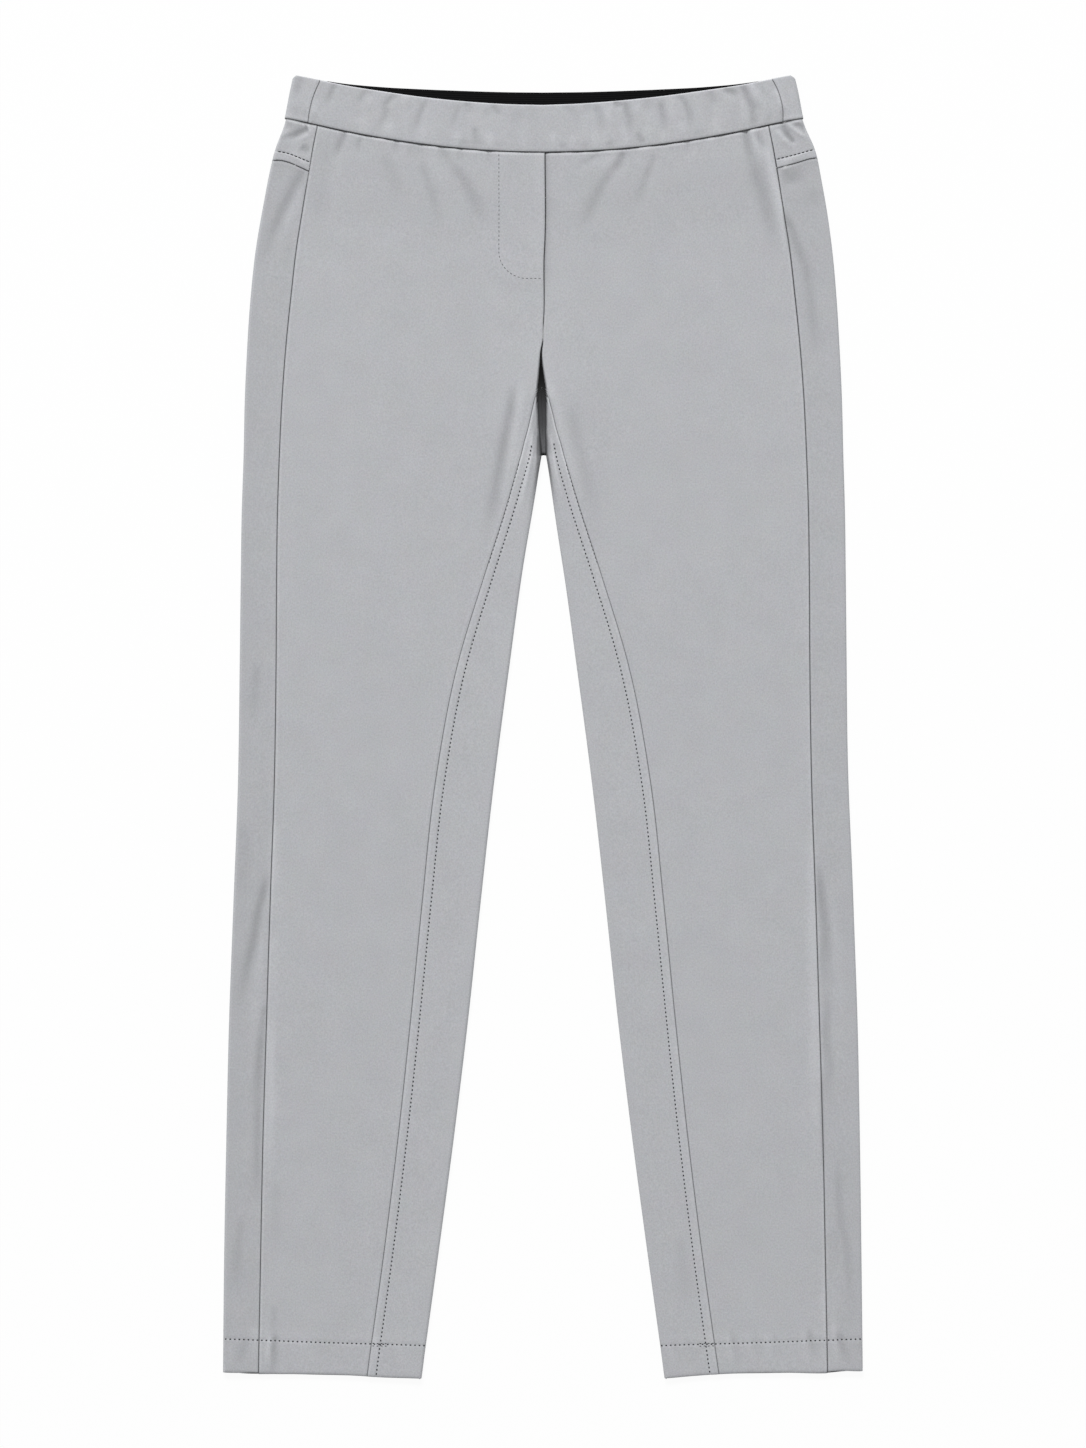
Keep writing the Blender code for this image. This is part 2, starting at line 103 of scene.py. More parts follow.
# height, outer edge, outseam, inseam, inner edge of a leg
LEGS = ((0, 243.0, 216.4, 134.0, 92.4), (90, 242.0, 214.7, 121.5, 80.0), (180, 240.8, 212.9, 110.4, 68.0),
        (270, 238.9, 210.2, 100.8, 57.1), (360, 235.4, 207.4, 91.9, 47.5), (450, 231.8, 204.3, 82.1, 37.4),
        (540, 230.3, 202.9, 65.3, 25.6), (610, 229.6, 202.5, 44.3, 16.0), (660, 229.1, 201.8, 28.2, 8.0),
        (701, 228.0, 200.4, 16.2, 1.8))
# height, outer edge, outseam over the hips
HIPS = ((745, 226.9, 198.3), (785, 224.8, 195.3), (826, 221.9, 191.1), (856, 218.9, 187.7),
        (887, 214.3, 182.8), (917, 208.2, 177.8), (934, 204.2, 174.8), (957, 196.5, 170.3),
        (975, 193.4, 168.0), (990, 190.0, 166.0))
# height, half width, inseam of the crotch slit
SLITS = ((701, 1.75, 16.2), (707, 1.85, 14.7), (711.5, 2.3, 13.5), (716.5, 2.65, 12.0), (720, 3.15, 11.0),
         (732, 3.55, 8.2), (739, 3.85, 6.5), (746, 3.75, 4.4), (752, 3.4, 0.0), (759, 2.5, 0.0),
         (766, 1.7, 0.0), (773, 1.1, 0.0), (784, 0.55, 0.0))
# x, then the heights of: waist seam, band top, back waist seam, back band top, back yoke seam
ACROSS = ((0, 930.4, 966.5, 940.0, 976.6, 897.0), (30, 931.1, 967.5, 940.6, 976.9, 898.8),
          (60, 933.1, 969.7, 941.6, 977.8, 901.7), (90, 936.4, 972.8, 943.3, 979.0, 905.6),
          (122, 941.2, 977.2, 946.0, 980.7, 911.0), (153, 947.0, 982.1, 949.6, 983.6, 916.0),
          (172, 951.2, 986.0, 952.8, 986.4, 919.0), (196, 956.0, 990.0, 956.0, 988.8, 922.6),
          (210, 958.0, 990.0, 958.0, 989.0, 924.3))


def column(table, number):
    return curve_through([(row[0], row[number]) for row in table])


outer_edge = curve_through([row[:2] for row in LEGS + HIPS])
outseam = curve_through([(row[0], row[2]) for row in LEGS + HIPS])
leg_inseam, leg_inner_edge = column(LEGS, 3), column(LEGS, 4)
slit_half_width, slit_inseam = column(SLITS, 1), column(SLITS, 2)
waist_seam, band_top, back_waist_seam, back_band_top, back_yoke_seam = (
    column(ACROSS, number) for number in range(1, 6))
front_yoke_seam = curve_through(((170, 916.0), (YOKE_CORNER, 917.5), (207, 924.0)))
hem_line = curve_through(((92.4, 0.0), (170, 2.2), (243, 5.0)))


def inseam(height):
    """Distance of the inseam from the centre line, up the leg and on into the slit."""
    return np.where(height < CROTCH, leg_inseam(height), np.maximum(slit_inseam(height), 0.0))


def inner_edge(height):
    """Inner edge of a leg: the last few millimetres close in a round end at the crotch."""
    closing = np.clip((height - CROTCH_TIP + 0.9) / 0.9, 0, 0.999)
    return leg_inner_edge(height) * np.sqrt(1 - closing ** 2)


def mix(a, b, share):
    return a + (b - a) * share


def ease(t):
    """0 to 1, level at both ends."""
    t = np.clip(t, 0.0, 1.0)
    return t * t * (3 - 2 * t)


def bump(distance, half_width):
    """1 at a line, fading softly to 0 on both sides."""
    return np.exp(-(distance / half_width) ** 2)


print("hip width at the crotch:", round(2 * float(outer_edge(CROTCH))), "mm")

# %% [markdown]
# ## How high the cloth lies
#
# Laid flat, the trousers are two layers of cloth. The front layer rises a little where something is
# folded or sewn underneath: along the side folds, the hem, the waist, the fly. One function of x and
# height holds all of that, and every panel reads its z from it. A cloth simulation would also give
# folds, but not these ones in these places, so the folds are listed one by one.

# %% Creases
Crease = namedtuple("Crease", "half_width depth points")


def creases(*rows):
    """Each row: half the width, the depth (+ is a ridge), then the (x, height) points of the line."""
    return [Crease(row[0], row[1], row[2:]) for row in rows]


# The front layer. The wearer's right is at -x.
THIGHS = creases(
    (3.4, -1.35, (-21, 760), (-24, 732), (-29, 708), (-33, 685), (-36, 668), (-40, 650), (-45, 622)),
    (4.0, -0.5, (22, 745), (25, 722), (29, 702), (34, 680), (40, 652), (45, 628)),
    (4.0, 0.55, (-13, 764), (-16, 742), (-19, 718), (-23, 698), (-29, 672), (-33, 648)),
    (3.6, 0.60, (5, 766), (9, 742), (16, 718), (22, 694), (27, 674), (33, 648)),
    (1.9, 1.35, (-7.5, 722), (-8.5, 705), (-12, 684), (-16, 664), (-19, 650)),
    (1.7, 1.25, (6, 720), (7, 706), (10.5, 686), (14, 670), (16, 660)),
)
WAIST_RIGHT = creases(
    (2.0, -1.25, (-150, 948), (-151.5, 941), (-154.5, 935), (-156.5, 929), (-158, 922)),
    (1.6, -0.75, (-139, 942), (-140, 935), (-141, 927)),
    (1.7, -0.85, (-111, 942), (-111.5, 934), (-112, 926)),
    (4.5, -0.45, (-122, 930), (-118, 920), (-110, 902), (-106, 886)), (3.0, -0.40, (-99, 938), (-99, 922)),
    (1.8, -0.40, (-94, 942), (-93, 932), (-92, 924)),
    (2.6, -0.62, (-92, 926), (-90, 914), (-84, 896), (-74, 866)),
    (2.6, -0.70, (-80, 938), (-75.5, 929), (-72.5, 924), (-68, 917)),
    (4.0, -0.85, (-72, 924), (-65, 915), (-58, 905), (-52, 892), (-46, 878), (-42, 866)),
    (1.7, -0.40, (-63, 936), (-61.5, 927), (-59, 918)), (1.6, -0.65, (-41, 934), (-41, 918)),
    (5.0, -0.35, (-162, 944), (-164, 930), (-167, 902), (-172, 874), (-174, 850)),
    (3.6, -1.10, (-179, 922), (-184, 912), (-191, 899), (-199, 884), (-206, 867), (-210, 850), (-212, 838)),
    (4.0, 0.35, (-188, 912), (-186, 892), (-196, 868), (-200, 850)), (4.0, -0.25, (-192, 862), (-194, 836)),
    (3.6, 0.30, (-86, 930), (-78, 912), (-68, 892)), (4.0, 0.30, (-30, 944), (-26, 928), (-25, 922)),
    (6.0, -0.25, (-24, 926), (-24, 918), (-25, 904)), (3.0, 0.20, (-4, 950), (-4, 900), (-5, 850)),
    (3.5, 0.40, (-82, 940), (-81, 926)), (2.4, 0.40, (-67, 938), (-67, 926)),
    (3.4, 0.60, (-52, 940), (-53, 924)),
    (3.6, 0.30, (-122, 946), (-122, 934)), (3.6, 0.30, (-147, 950), (-146, 936)),
)
WAIST_LEFT = creases(
    (2.8, -1.2, (62, 932), (58.5, 922), (55.5, 918), (50, 912)),
    (4.0, -0.78, (56, 918), (50, 911), (44, 902), (38, 890), (32, 876), (28, 864)),
    (1.6, -0.6, (44, 930), (38, 926), (27, 921), (20, 916)),
    (2.2, -0.60, (86, 930), (83, 922), (81, 917), (78, 908)),
    (2.8, -0.55, (82, 920), (78, 908), (74, 896), (70, 884)), (2.4, -0.25, (70, 934), (70, 922)),
    (2.0, -0.65, (110, 940), (110, 926)), (3.0, -0.25, (121, 942), (121, 926)),
    (3.0, -0.20, (136, 944), (136, 928)),
    (2.3, -1.40, (153.5, 952), (154.5, 942), (156, 934), (158, 926), (161, 917)),
    (4.8, -1.12, (157, 930), (160, 921), (163, 911), (167, 899), (171, 885), (175, 870), (178, 856),
     (180, 842)),
    (2.0, -1.2, (161, 946), (165, 940), (169, 934), (172, 928)),
    (2.6, 0.80, (158, 952), (161, 939), (166, 924), (168, 916)),
    (3.0, 1.10, (166, 952), (170, 934), (174, 914), (178, 898), (183, 872), (187, 850), (190, 832)),
    (3.0, -1.2, (184, 886), (187, 877), (190, 869), (194, 857), (199, 844), (201, 833), (203, 824)),
    (3.2, -0.75, (199, 848), (203, 824), (205, 806), (207, 786), (208, 762)),
    (1.6, -0.9, (183, 890), (185.2, 874), (187.8, 858), (190, 838)),
    (3.6, -0.8, (181, 908), (188, 909), (200, 912)), (3.2, -0.25, (203, 902), (207, 884)),
    (3.2, 0.35, (6, 944), (6, 922)), (3.4, 0.40, (19, 942), (19.5, 922)), (5.0, 0.60, (47, 944), (50, 926)),
    (3.0, 0.40, (56, 928), (48, 920), (40, 914)), (2.8, 0.65, (79, 944), (79.5, 926)),
    (3.0, 0.30, (128, 948), (128, 932)), (3.5, 0.30, (100, 946), (99, 930)),
)
YOKES = creases(
    (2.8, -1.45, (-177.5, 949.5), (-181, 947), (-185, 944.5), (-190, 941.5), (-197, 937)),
    (1.8, 0.4, (-176, 946), (-181, 943), (-187, 940.5), (-193, 938.5), (-200, 936)),
    (1.6, 0.5, (-201, 941), (-196, 945), (-190, 949)), (2.6, 0.90, (-197, 955), (-190, 953), (-183, 950)),
    (0.8, 0.8, (-182.4, 952), (-181.6, 949), (-180.6, 945)),
    (0.8, -0.7, (-180.8, 952), (-179.6, 948), (-178.8, 944)),
    (0.8, 0.9, (-178.8, 951.5), (-177.6, 947.5), (-177, 944)), (0.8, -0.5, (-177, 951.5), (-175.9, 946.5)),
    (3.0, -0.9, (-184, 935), (-181, 932.5), (-176, 930)), (1.2, 0.60, (-177, 952), (-176, 940)),
    (1.6, -1.9, (190.5, 935.5), (188.5, 938.5), (186, 942), (184, 945.5), (182, 949), (180.5, 952)),
    (2.2, -1.0, (190, 952.5), (195.5, 949), (199.5, 944.5), (202, 939)),
    (1.4, 0.90, (184.5, 952.5), (189.5, 948), (195, 943.4), (202, 939)),
    (2.4, 1.1, (184, 957), (190, 954), (198, 951)), (2.2, 0.80, (177, 948), (182, 940), (190, 934)),
    (1.4, -0.80, (181, 954), (182.5, 950), (185, 946)), (2.0, 0.50, (180, 921), (190, 925), (204, 929)),
    (2.0, 0.50, (-178, 920.5), (-188, 926), (-200, 928)), (2.0, 0.60, (181, 916), (190, 919)),
)
LEG_SIDES = creases(
    (3.0, -1.30, (-209, 388), (-211.6, 370), (-216.5, 350), (-219.5, 330), (-224.3, 310), (-228, 290),
     (-231, 266)),
    (2.4, -0.80, (-211, 284), (-213, 262), (-214, 248)),
    (3.0, -1.15, (-213, 264), (-215, 238), (-216, 215), (-216, 192)),
    (2.6, -0.90, (-216, 215), (-216.5, 185), (-216.5, 145), (-217, 120)),
    (3.6, 0.60, (-203, 424), (-203.5, 380), (-204, 340)),
    (3.4, 0.40, (-204, 340), (-204, 300), (-204.5, 270)),
    (3.8, 0.75, (-205, 284), (-206, 240), (-206, 200), (-208, 160), (-210, 120)),
    (3.4, 0.45, (-212, 350), (-214, 318), (-217, 285), (-219, 255), (-221, 226)),
    (4.0, -0.40, (-227, 424), (-226, 392), (-229, 352)), (3.0, -0.50, (-216, 545), (-221, 480)),
    (3.0, -0.60, (-228, 124), (-231, 92), (-233.5, 56)), (4.0, -0.30, (-202, 150), (-203, 110), (-203, 80)),
    (2.8, -1.20, (209.5, 392), (211, 376), (213, 358), (215.5, 340), (215.6, 322), (216, 304), (216, 282)),
    (2.8, -0.75, (216, 296), (217, 278), (216, 262), (217, 245), (219, 232), (217, 216), (220, 204),
     (219, 190)),
    (3.6, 0.65, (203, 424), (204, 380), (205, 340), (205.5, 300), (207, 262), (207, 230), (209, 170),
     (210, 130)),
    (1.5, -0.8, (212.2, 236), (212.6, 205), (213.2, 170), (213.8, 136)),
    (4.0, 0.35, (217, 386), (221, 350), (224.5, 318), (226, 286), (225, 256), (229, 226)),
    (2.8, -0.75, (224, 168), (225.5, 136), (226.5, 118), (231, 98), (234, 60), (236, 30)),
    (2.0, -0.30, (222, 116), (224.5, 74)), (5.0, -0.40, (105, 110), (107, 72), (108, 36)),
    (2.6, 0.30, (220, 80), (221, 40), (221, -10)), (2.0, 0.25, (213, 70), (214, 40), (214, 10)),
)
# Short puckers between the hem stitch and the edge.
HEMS = creases(
    (2.4, -0.45, (-205, 54), (-204, 40), (-204, 24)),
    (2.6, -1.10, (-203, 34), (-204, 22), (-204, 12), (-205, -4)),
    (2.2, 0.70, (-207, 32), (-208, 18), (-208, 2)), (2.6, 0.30, (-219, 40), (-219, 22), (-219, 4)),
    (3.0, -0.45, (-225, 30), (-228, 18), (-230, 4)), (2.6, 0.35, (-237, 26), (-237, 14), (-238, 2)),
    (2.2, 0.55, (-127, 30), (-126, 20), (-125, 8)), (2.4, 0.20, (-112, 26), (-108, 16), (-104, 6)),
    (2.4, -0.20, (-118, 28), (-114, 16), (-110, 4)), (2.6, -0.15, (-97, 28), (-96, 14), (-93, 2)),
    (3.0, 0.15, (-184, 30), (-181, 18), (-179, 6)), (2.8, -0.15, (-171, 30), (-168, 18), (-164, 4)),
    (2.6, -0.50, (143, 34), (147, 20), (149, 10), (150, -2)), (2.6, 0.30, (140, 34), (143, 18), (144, 2)),
    (2.2, -0.70, (202, 36), (205, 22), (208, 8)), (2.4, 0.25, (197, 34), (200, 20), (203, 6)),
    (2.4, -0.80, (224, 36), (227, 24), (231, 12), (234, 2)),
    (2.6, 0.50, (221, 44), (222, 28), (224, 10), (224, 0)),
    (2.4, -0.20, (98, 28), (103, 16), (106, 4)), (2.2, 0.25, (94, 28), (98, 16), (102, 4)),
    (2.4, -0.20, (110, 30), (113, 18), (116, 6)), (2.4, -0.15, (160, 34), (164, 20), (167, 4)),
    (2.4, 0.20, (155, 34), (158, 20), (161, 4)), (2.4, -0.15, (176, 34), (179, 22), (181, 6)),
    (2.4, 0.18, (169, 34), (172, 20), (174, 4)),
)
FRONT_CREASES = THIGHS + WAIST_RIGHT + WAIST_LEFT + YOKES + LEG_SIDES + HEMS
# The back layer, which lies on the table.
BACK_CREASES = creases(
    (8, 0.68, (-20, 690), (-48, 640), (-66, 580)), (8, 0.68, (18, 692), (44, 646), (60, 590)),
    (7, 0.60, (-30, 735), (-80, 722), (-130, 718)), (7, 0.60, (28, 738), (86, 724), (140, 722)),
    (7, 0.52, (-150, 380), (-164, 330), (-170, 270)), (7, 0.52, (120, 395), (108, 350), (112, 290)),
    (7, 0.52, (-92, 880), (-84, 845), (-90, 815)), (7, 0.52, (98, 884), (90, 850), (94, 818)),
    (6, 0.52, (150, 900), (162, 866), (170, 838)), (6, 0.52, (-152, 900), (-166, 862)),
)


def crease_height(creases, x, height):
    """All creases together. Each fades softly towards its ends and widens on its way."""
    total = np.zeros(np.broadcast(x, height).shape)
    for crease in creases:
        steps = [math.dist(a, b) for a, b in zip(crease.points, crease.points[1:])]
        nearest = np.full(total.shape, np.inf)
        share = np.zeros(total.shape)
        gone = 0.0
        for (x1, h1), (x2, h2), step in zip(crease.points, crease.points[1:], steps):
            along = ((x - x1) * (x2 - x1) + (height - h1) * (h2 - h1)) / step ** 2
            held = np.clip(along, 0, 1)
            away = np.hypot(x - mix(x1, x2, held), height - mix(h1, h2, held))
            closer = away < nearest
            nearest = np.where(closer, away, nearest)
            share = np.where(closer, (gone + held * step) / sum(steps), share)
            gone += step
        faded = ease(share / 0.2) * ease((1 - share) / 0.5)
        total += crease.depth * faded * bump(nearest, crease.half_width * (0.85 + 0.65 * share))
    return total


def ripple(x, height, size, seed):
    """Soft, irregular unevenness between -1 and 1, with bumps about `size` millimetres across."""
    table = np.random.default_rng(seed).uniform(-1, 1, (80, 80))
    u, v = x / size + 40, height / size + 2
    i, j = np.floor(u).astype(int), np.floor(v).astype(int)
    s, t = ease(u - i), ease(v - j)
    i, j = i % 79, j % 79
    low = mix(table[i, j], table[i + 1, j], s)
    high = mix(table[i, j + 1], table[i + 1, j + 1], s)
    return mix(low, high, t)


print(len(FRONT_CREASES), "creases in front,", len(BACK_CREASES), "behind")

# %% [markdown]
# ## Seams and topstitching in the surface
#
# At a seam both pieces turn down into the join, so each edge rolls over by less than a millimetre, with
# a slight swelling beside it, where the turned-in allowance lies. Thread that holds the allowance pulls
# the cloth into a shallow groove. These forms are tiny, but they are what the eye reads as sewing, so
# they are made in the mesh. The light lost in them is also painted into the colour, as painted shade.

# %% The top surface
ROLL = 0.32                 # radius of an edge that turns down into a seam
FLAT_ROLL = 0.28            # the same at the inseam, which is pressed and topstitched
SWELLING = 0.16
TOPSTITCH_ASIDE = 6.8       # inseam topstitch, from its seam
YOKE_STITCH_UP = 7.0        # yoke topstitch, above its seam
HEM_STITCH_UP = 24.0        # hem stitch, above the edge of the hem
ALLOWANCE = 0.30            # how much a seam allowance lifts the cloth above it
STITCH_GROOVE = 0.22
EDGE_RISE, EDGE_REACH = 1.2, 12         # the front layer is higher beside an edge of the leg
WAIST_RISE, WAIST_REACH = 2.5, 80       # towards the waist
WAIST_DIP = 0.35                        # and a little lower right at its seam
HEM_RISE, HEM_REACH = 0.25, 9           # over the turned-up hem
FLY_RISE, FLY_REACH = 0.35, 14          # over the fly facing
LAP = 0.9                               # how far the left front lies below the right one
FORK_RISE, FORK_HEIGHT = 2.6, 735       # round the crotch, where seams meet
FORK_REACH, FORK_LENGTH = 32, 48
ROUNDING = 1.0                          # of the folded edge of the hem


def seam_roll(distance, radius=ROLL, gap=GAP):
    """How far the cloth drops at a distance from a seam line, with the swelling beside it."""
    t = np.clip(1 - (distance - gap / 2) / radius, 0, 1)
    return SWELLING * bump(distance - 2.0, 1.1) - radius * (1 - np.sqrt(1 - t * t))


def fly_distance(x, height):
    """How far inside the J of the fly stitching a point lies."""
    into, above = FLY_WIDTH + x, height - FLY_BOTTOM
    corner = FLY_RADIUS - np.hypot(FLY_RADIUS - into, FLY_RADIUS - above)
    in_corner = (into < FLY_RADIUS) & (above < FLY_RADIUS)
    return np.where(in_corner, corner, np.minimum(into, above))


FAR = 99.0


def to_outseam(x, height):
    return np.abs(np.abs(x) - outseam(height))


def to_inseam(x, height):
    return np.where(height < JUNCTION, np.abs(np.abs(x) - inseam(height)), FAR)


def to_centre(x, height):
    return np.where(height < JUNCTION, FAR, np.abs(x))


def to_waist(x, height):
    return np.abs(height - waist_seam(np.abs(x)))


def to_yoke(x, height):
    half = np.abs(x)
    return np.where(half > outseam(height) - 1, np.abs(height - front_yoke_seam(half)), FAR)


def lapped_front(x, height):
    """The wearer's right front laps over the left at the centre: how much lower the left one lies."""
    over = ease((height - FLY_BOTTOM + 30) / 40)
    return np.where(x > 0, over * np.exp(-np.abs(x) / 2.2), 0)


def slit_share(x, height):
    """0 at the bottom of the crotch slit, 1 outside it."""
    sides = ease(0.15 + (np.abs(x) - slit_half_width(height)) / SLIT_LIP)
    depth = np.where(height < CROTCH, 0.0, ease((SLIT_TOP - height) / 24))
    return 1 - depth * (1 - sides)


def strips(x, height):
    """Where a seam allowance lies under the cloth: beside the inseam, above the yoke seam."""
    half = np.abs(x)
    aside = inseam(height) - half
    strip = np.where(height < JUNCTION, ease(aside / 0.8) * ease((TOPSTITCH_ASIDE - aside) / 1.2), 0)
    up = height - front_yoke_seam(half)
    return strip + np.where(half > outseam(height), ease(up / 0.8) * ease((YOKE_STITCH_UP - up) / 1.2), 0)


def grooves(x, height):
    """Where thread pulls the cloth in."""
    half = np.abs(x)
    groove = np.where(height < JUNCTION, bump(inseam(height) - half - TOPSTITCH_ASIDE, 0.7), 0)
    groove += np.where(half > outseam(height), bump(height - front_yoke_seam(half) - YOKE_STITCH_UP, 0.7), 0)
    groove += bump(height - hem_line(half) - HEM_STITCH_UP, 0.7)
    return groove + np.where(x < 0, 0.5 * bump(fly_distance(x, height), 0.7), 0)


def cloth_top(x, height):
    """Top of the front layer above the table."""
    half = np.abs(x)
    top = LAY + EDGE_RISE * np.exp(-np.maximum(outer_edge(height) - half, 0) / EDGE_REACH)
    top += WAIST_RISE * ease(1 - (waist_seam(half) - height) / WAIST_REACH)
    top += HEM_RISE * ease((HEM_DEPTH + HEM_REACH - height + hem_line(half)) / HEM_REACH)
    top -= WAIST_DIP * bump(to_waist(x, height), 1.9)
    top += np.where(x < 0, FLY_RISE * ease((fly_distance(x, height) + FLY_REACH) / FLY_REACH), 0)
    top -= LAP * lapped_front(x, height)
    top += FORK_RISE * bump(half, FORK_REACH) * bump(height - FORK_HEIGHT, FORK_LENGTH)
    near_crotch = ease((CROTCH + 6 - height) / 16)
    inner = np.maximum(half - leg_inner_edge(height), 0)
    top += EDGE_RISE * near_crotch * np.exp(-inner / EDGE_REACH)
    top += crease_height(FRONT_CREASES, x, height)
    top += 0.07 * ripple(x, height, 24, 3) + 0.12 * ripple(x, height, 61, 4)
    sewn = np.minimum(np.minimum(to_outseam(x, height), to_centre(x, height)),
                      np.minimum(to_waist(x, height), to_yoke(x, height)))
    top += ALLOWANCE * strips(x, height) - STITCH_GROOVE * grooves(x, height) + seam_roll(sewn)
    top += seam_roll(to_inseam(x, height), FLAT_ROLL, INSEAM_GAP)
    top = mix(SLIT_FLOOR, top, slit_share(x, height))
    above_hem = np.clip(1 - (height - hem_line(half)) / ROUNDING, 0, 1)
    return top - ROUNDING * (1 - np.sqrt(1 - above_hem ** 2))


print("highest point of the front:", round(float(cloth_top(np.array(-10.0), np.array(740.0))), 2), "mm")

# %% The underside
def underside(x, height):
    """How far the cloth underneath is off the table: seams turn in, and a few creases lift."""
    half = np.abs(x)
    centre = np.where(height > CROTCH_TIP, half, FAR)
    yoke, waist = height - back_yoke_seam(half), np.abs(height - back_waist_seam(half))
    seam = np.minimum(np.minimum(centre, np.abs(yoke)), waist)
    off = np.maximum(-seam_roll(seam), 0)
    off += STITCH_GROOVE * (bump(yoke - YOKE_STITCH_UP, 0.8)
                            + bump(height - hem_line(half) - HEM_STITCH_UP, 0.8))
    off += crease_height(BACK_CREASES, x, height) + 0.10 * (1 + ripple(x, height, 33, 8))
    above_hem = np.clip(1 - (height - hem_line(half) + HEM_PEEK) / ROUNDING, 0, 1)
    return off + ROUNDING * (1 - np.sqrt(1 - above_hem ** 2))


# %% [markdown]
# ## Rows and columns
#
# A panel is a grid whose columns run along its two long seams and whose rows run across. Sewn edges
# need points a fraction of a millimetre apart, the middle only every 3 mm, so the spacing widens away
# from each edge.

# %% Spacing of the grid
NEAR_SEAM = (0, 0.1, 0.25, 0.45, 0.7, 1.1, 1.7, 2.4, 3.4, 4.8)
NEAR_SLIT = (0, 0.1, 0.25, 0.45, 0.7, 1.1, 1.5, 1.9, 2.3, 2.7, 3.1, 3.5, 3.9, 4.3, 4.8, 5.4, 6.2, 7.4)
NEAR_TOPSTITCH = (0, 0.1, 0.25, 0.45, 0.7, 1.1, 1.7, 3.2, 5.0, 5.8, 6.3, 6.8, 7.3, 7.8, 8.8)
NOTHING = 1e-6              # keeps a division from having 0 below


def spread(first, last, near_first, near_last, count):
    """Stations from one line to another: set distances near each, then evenly spaced between."""
    first, last = np.asarray(first, float)[..., None], np.asarray(last, float)[..., None]
    room = np.abs(last - first)
    way = np.sign(last - first)
    scale = np.minimum(1, 0.85 * room / max(near_first[-1] + near_last[-1], NOTHING))
    start = first + way * scale * np.array(near_first, float)
    end = last - way * scale * np.array(near_last[::-1], float)
    between = np.linspace(0, 1, count + 2)[1:-1]
    return np.concatenate((start, mix(start[..., -1:], end[..., :1], between), end), axis=-1)


def crossing(height, line, row):
    """x where a lengthwise line meets a row."""
    x = line(height)
    for _ in range(5):
        x = line(row(height, x))
    return x


def row_on_front(height, x):
    """A row follows the hem at the bottom and the waist seam at the top."""
    top = waist_seam(0)
    waist = (waist_seam(x) - GAP / 2 - top) * ease((height - top + 110) / 110)
    return height + hem_line(x) * (1 - ease(height / 100)) + waist


def row_on_side(height, x):
    """The same on the part of a back panel that shows in front, up to the yoke."""
    top = front_yoke_seam(YOKE_CORNER)
    yoke = (front_yoke_seam(x) - GAP / 2 - top) * ease((height - top + 110) / 110)
    step = HEM_STEP * ease((243 - x) / 24)
    return height + (hem_line(x) + step) * (1 - ease(height / 100)) + yoke


def row_on_back(height, x):
    """The same underneath."""
    top = front_yoke_seam(YOKE_CORNER)
    peek = HEM_PEEK * np.sin(np.pi * ease((x - 92) / 151))
    yoke = (back_yoke_seam(x) - GAP / 2 - top) * ease((height - top + 110) / 110)
    return height + (hem_line(x) - peek) * (1 - ease(height / 100)) + yoke


HEM_LEVELS = np.array((0, 0.08, 0.25, 0.5, 0.85, 1.4, 2.4, 5, 8, 12, 16, 20, 22, 23.2, 24, 24.8, 26, 28, 31))
LEG_LEVELS = np.concatenate((HEM_LEVELS, np.arange(34, 697, 3.0), (698.5, 699.6, 700.4, 701.0, 701.5)))
SLIT_LEVELS = np.array((703.0, 704.5, 706.5, 709, 712, 715, 718, 721, 724, 727, 730, 733, 736, 739, 741.5,
                        744, 746, 748, 749.5, 751.6))
print("rows up a leg:", len(LEG_LEVELS))

# %% [markdown]
# ## The two sides are not quite alike
#
# The pattern is the same on both sides, but no garment lies down evenly. Side edges, hems, yoke seams
# and the centre line each wander by a millimetre or two. Small tables say by how much, and the cloth
# beside a line is taken along, so that neighbours still meet.

# %% Small drifts
# How far the centre front wanders from the straight, and how far the fork of the legs does.
centre_line = curve_through(((600, 0), (640, -0.2), (670, -0.6), (690, -0.9), (702, -1.0), (716, -1.3),
                             (730, -1.3), (742, -1.1), (752, -1.05), (759, -1.2), (773, -1.55),
                             (780, -1.35), (785, -0.5), (790, 0), (797, 0.1), (808, 0.7), (850, 0.8),
                             (866, 1.5),
                             (930, 1.5)))
fork_line = curve_through(((600, 0), (630, 0.4), (650, 1.0), (670, 1.4), (690, 1.6), (702, 1.6),
                           (709, 1.5), (716, 1.15), (730, 0.8), (742, 0.2), (752, 0)))

# How far the side edges lie outside their table, on the wearer's right and left.
edge_line = {-1: curve_through(((0, 0.4), (100, 0.5), (170, 0.1), (640, 0.1), (700, -0.3), (760, -0.1),
                                (800, 0.1), (850, -0.2), (890, -0.9), (925, -0.7), (944, -1.5), (955, -1.5))),
             1: curve_through(((0, 0.2), (300, 0.4), (400, 0.8), (480, 0.5), (560, 0.7), (770, 0.5),
                               (830, 0.95), (880, 1.4), (904, 1.8), (928, 2.1), (944, 1.1), (955, 0.4)))}
# How far the yoke seam in front rises above its table, on the wearer's right and left.
yoke_line = {-1: curve_through(((175, -1.5), (178, -1.4), (181, -0.7), (184.7, 0.2), (188.5, 1.0),
                                (192.3, 1.7), (196.8, 2.0), (202.2, 1.4), (206, 0.2))),
             1: curve_through(((175, 0.7), (181.6, 1.2), (186.2, 1.5), (190.8, 1.8), (195.3, 2.3),
                               (199.9, 2.8), (203.7, 2.6), (206.7, 1.8), (208.5, 0.9)))}

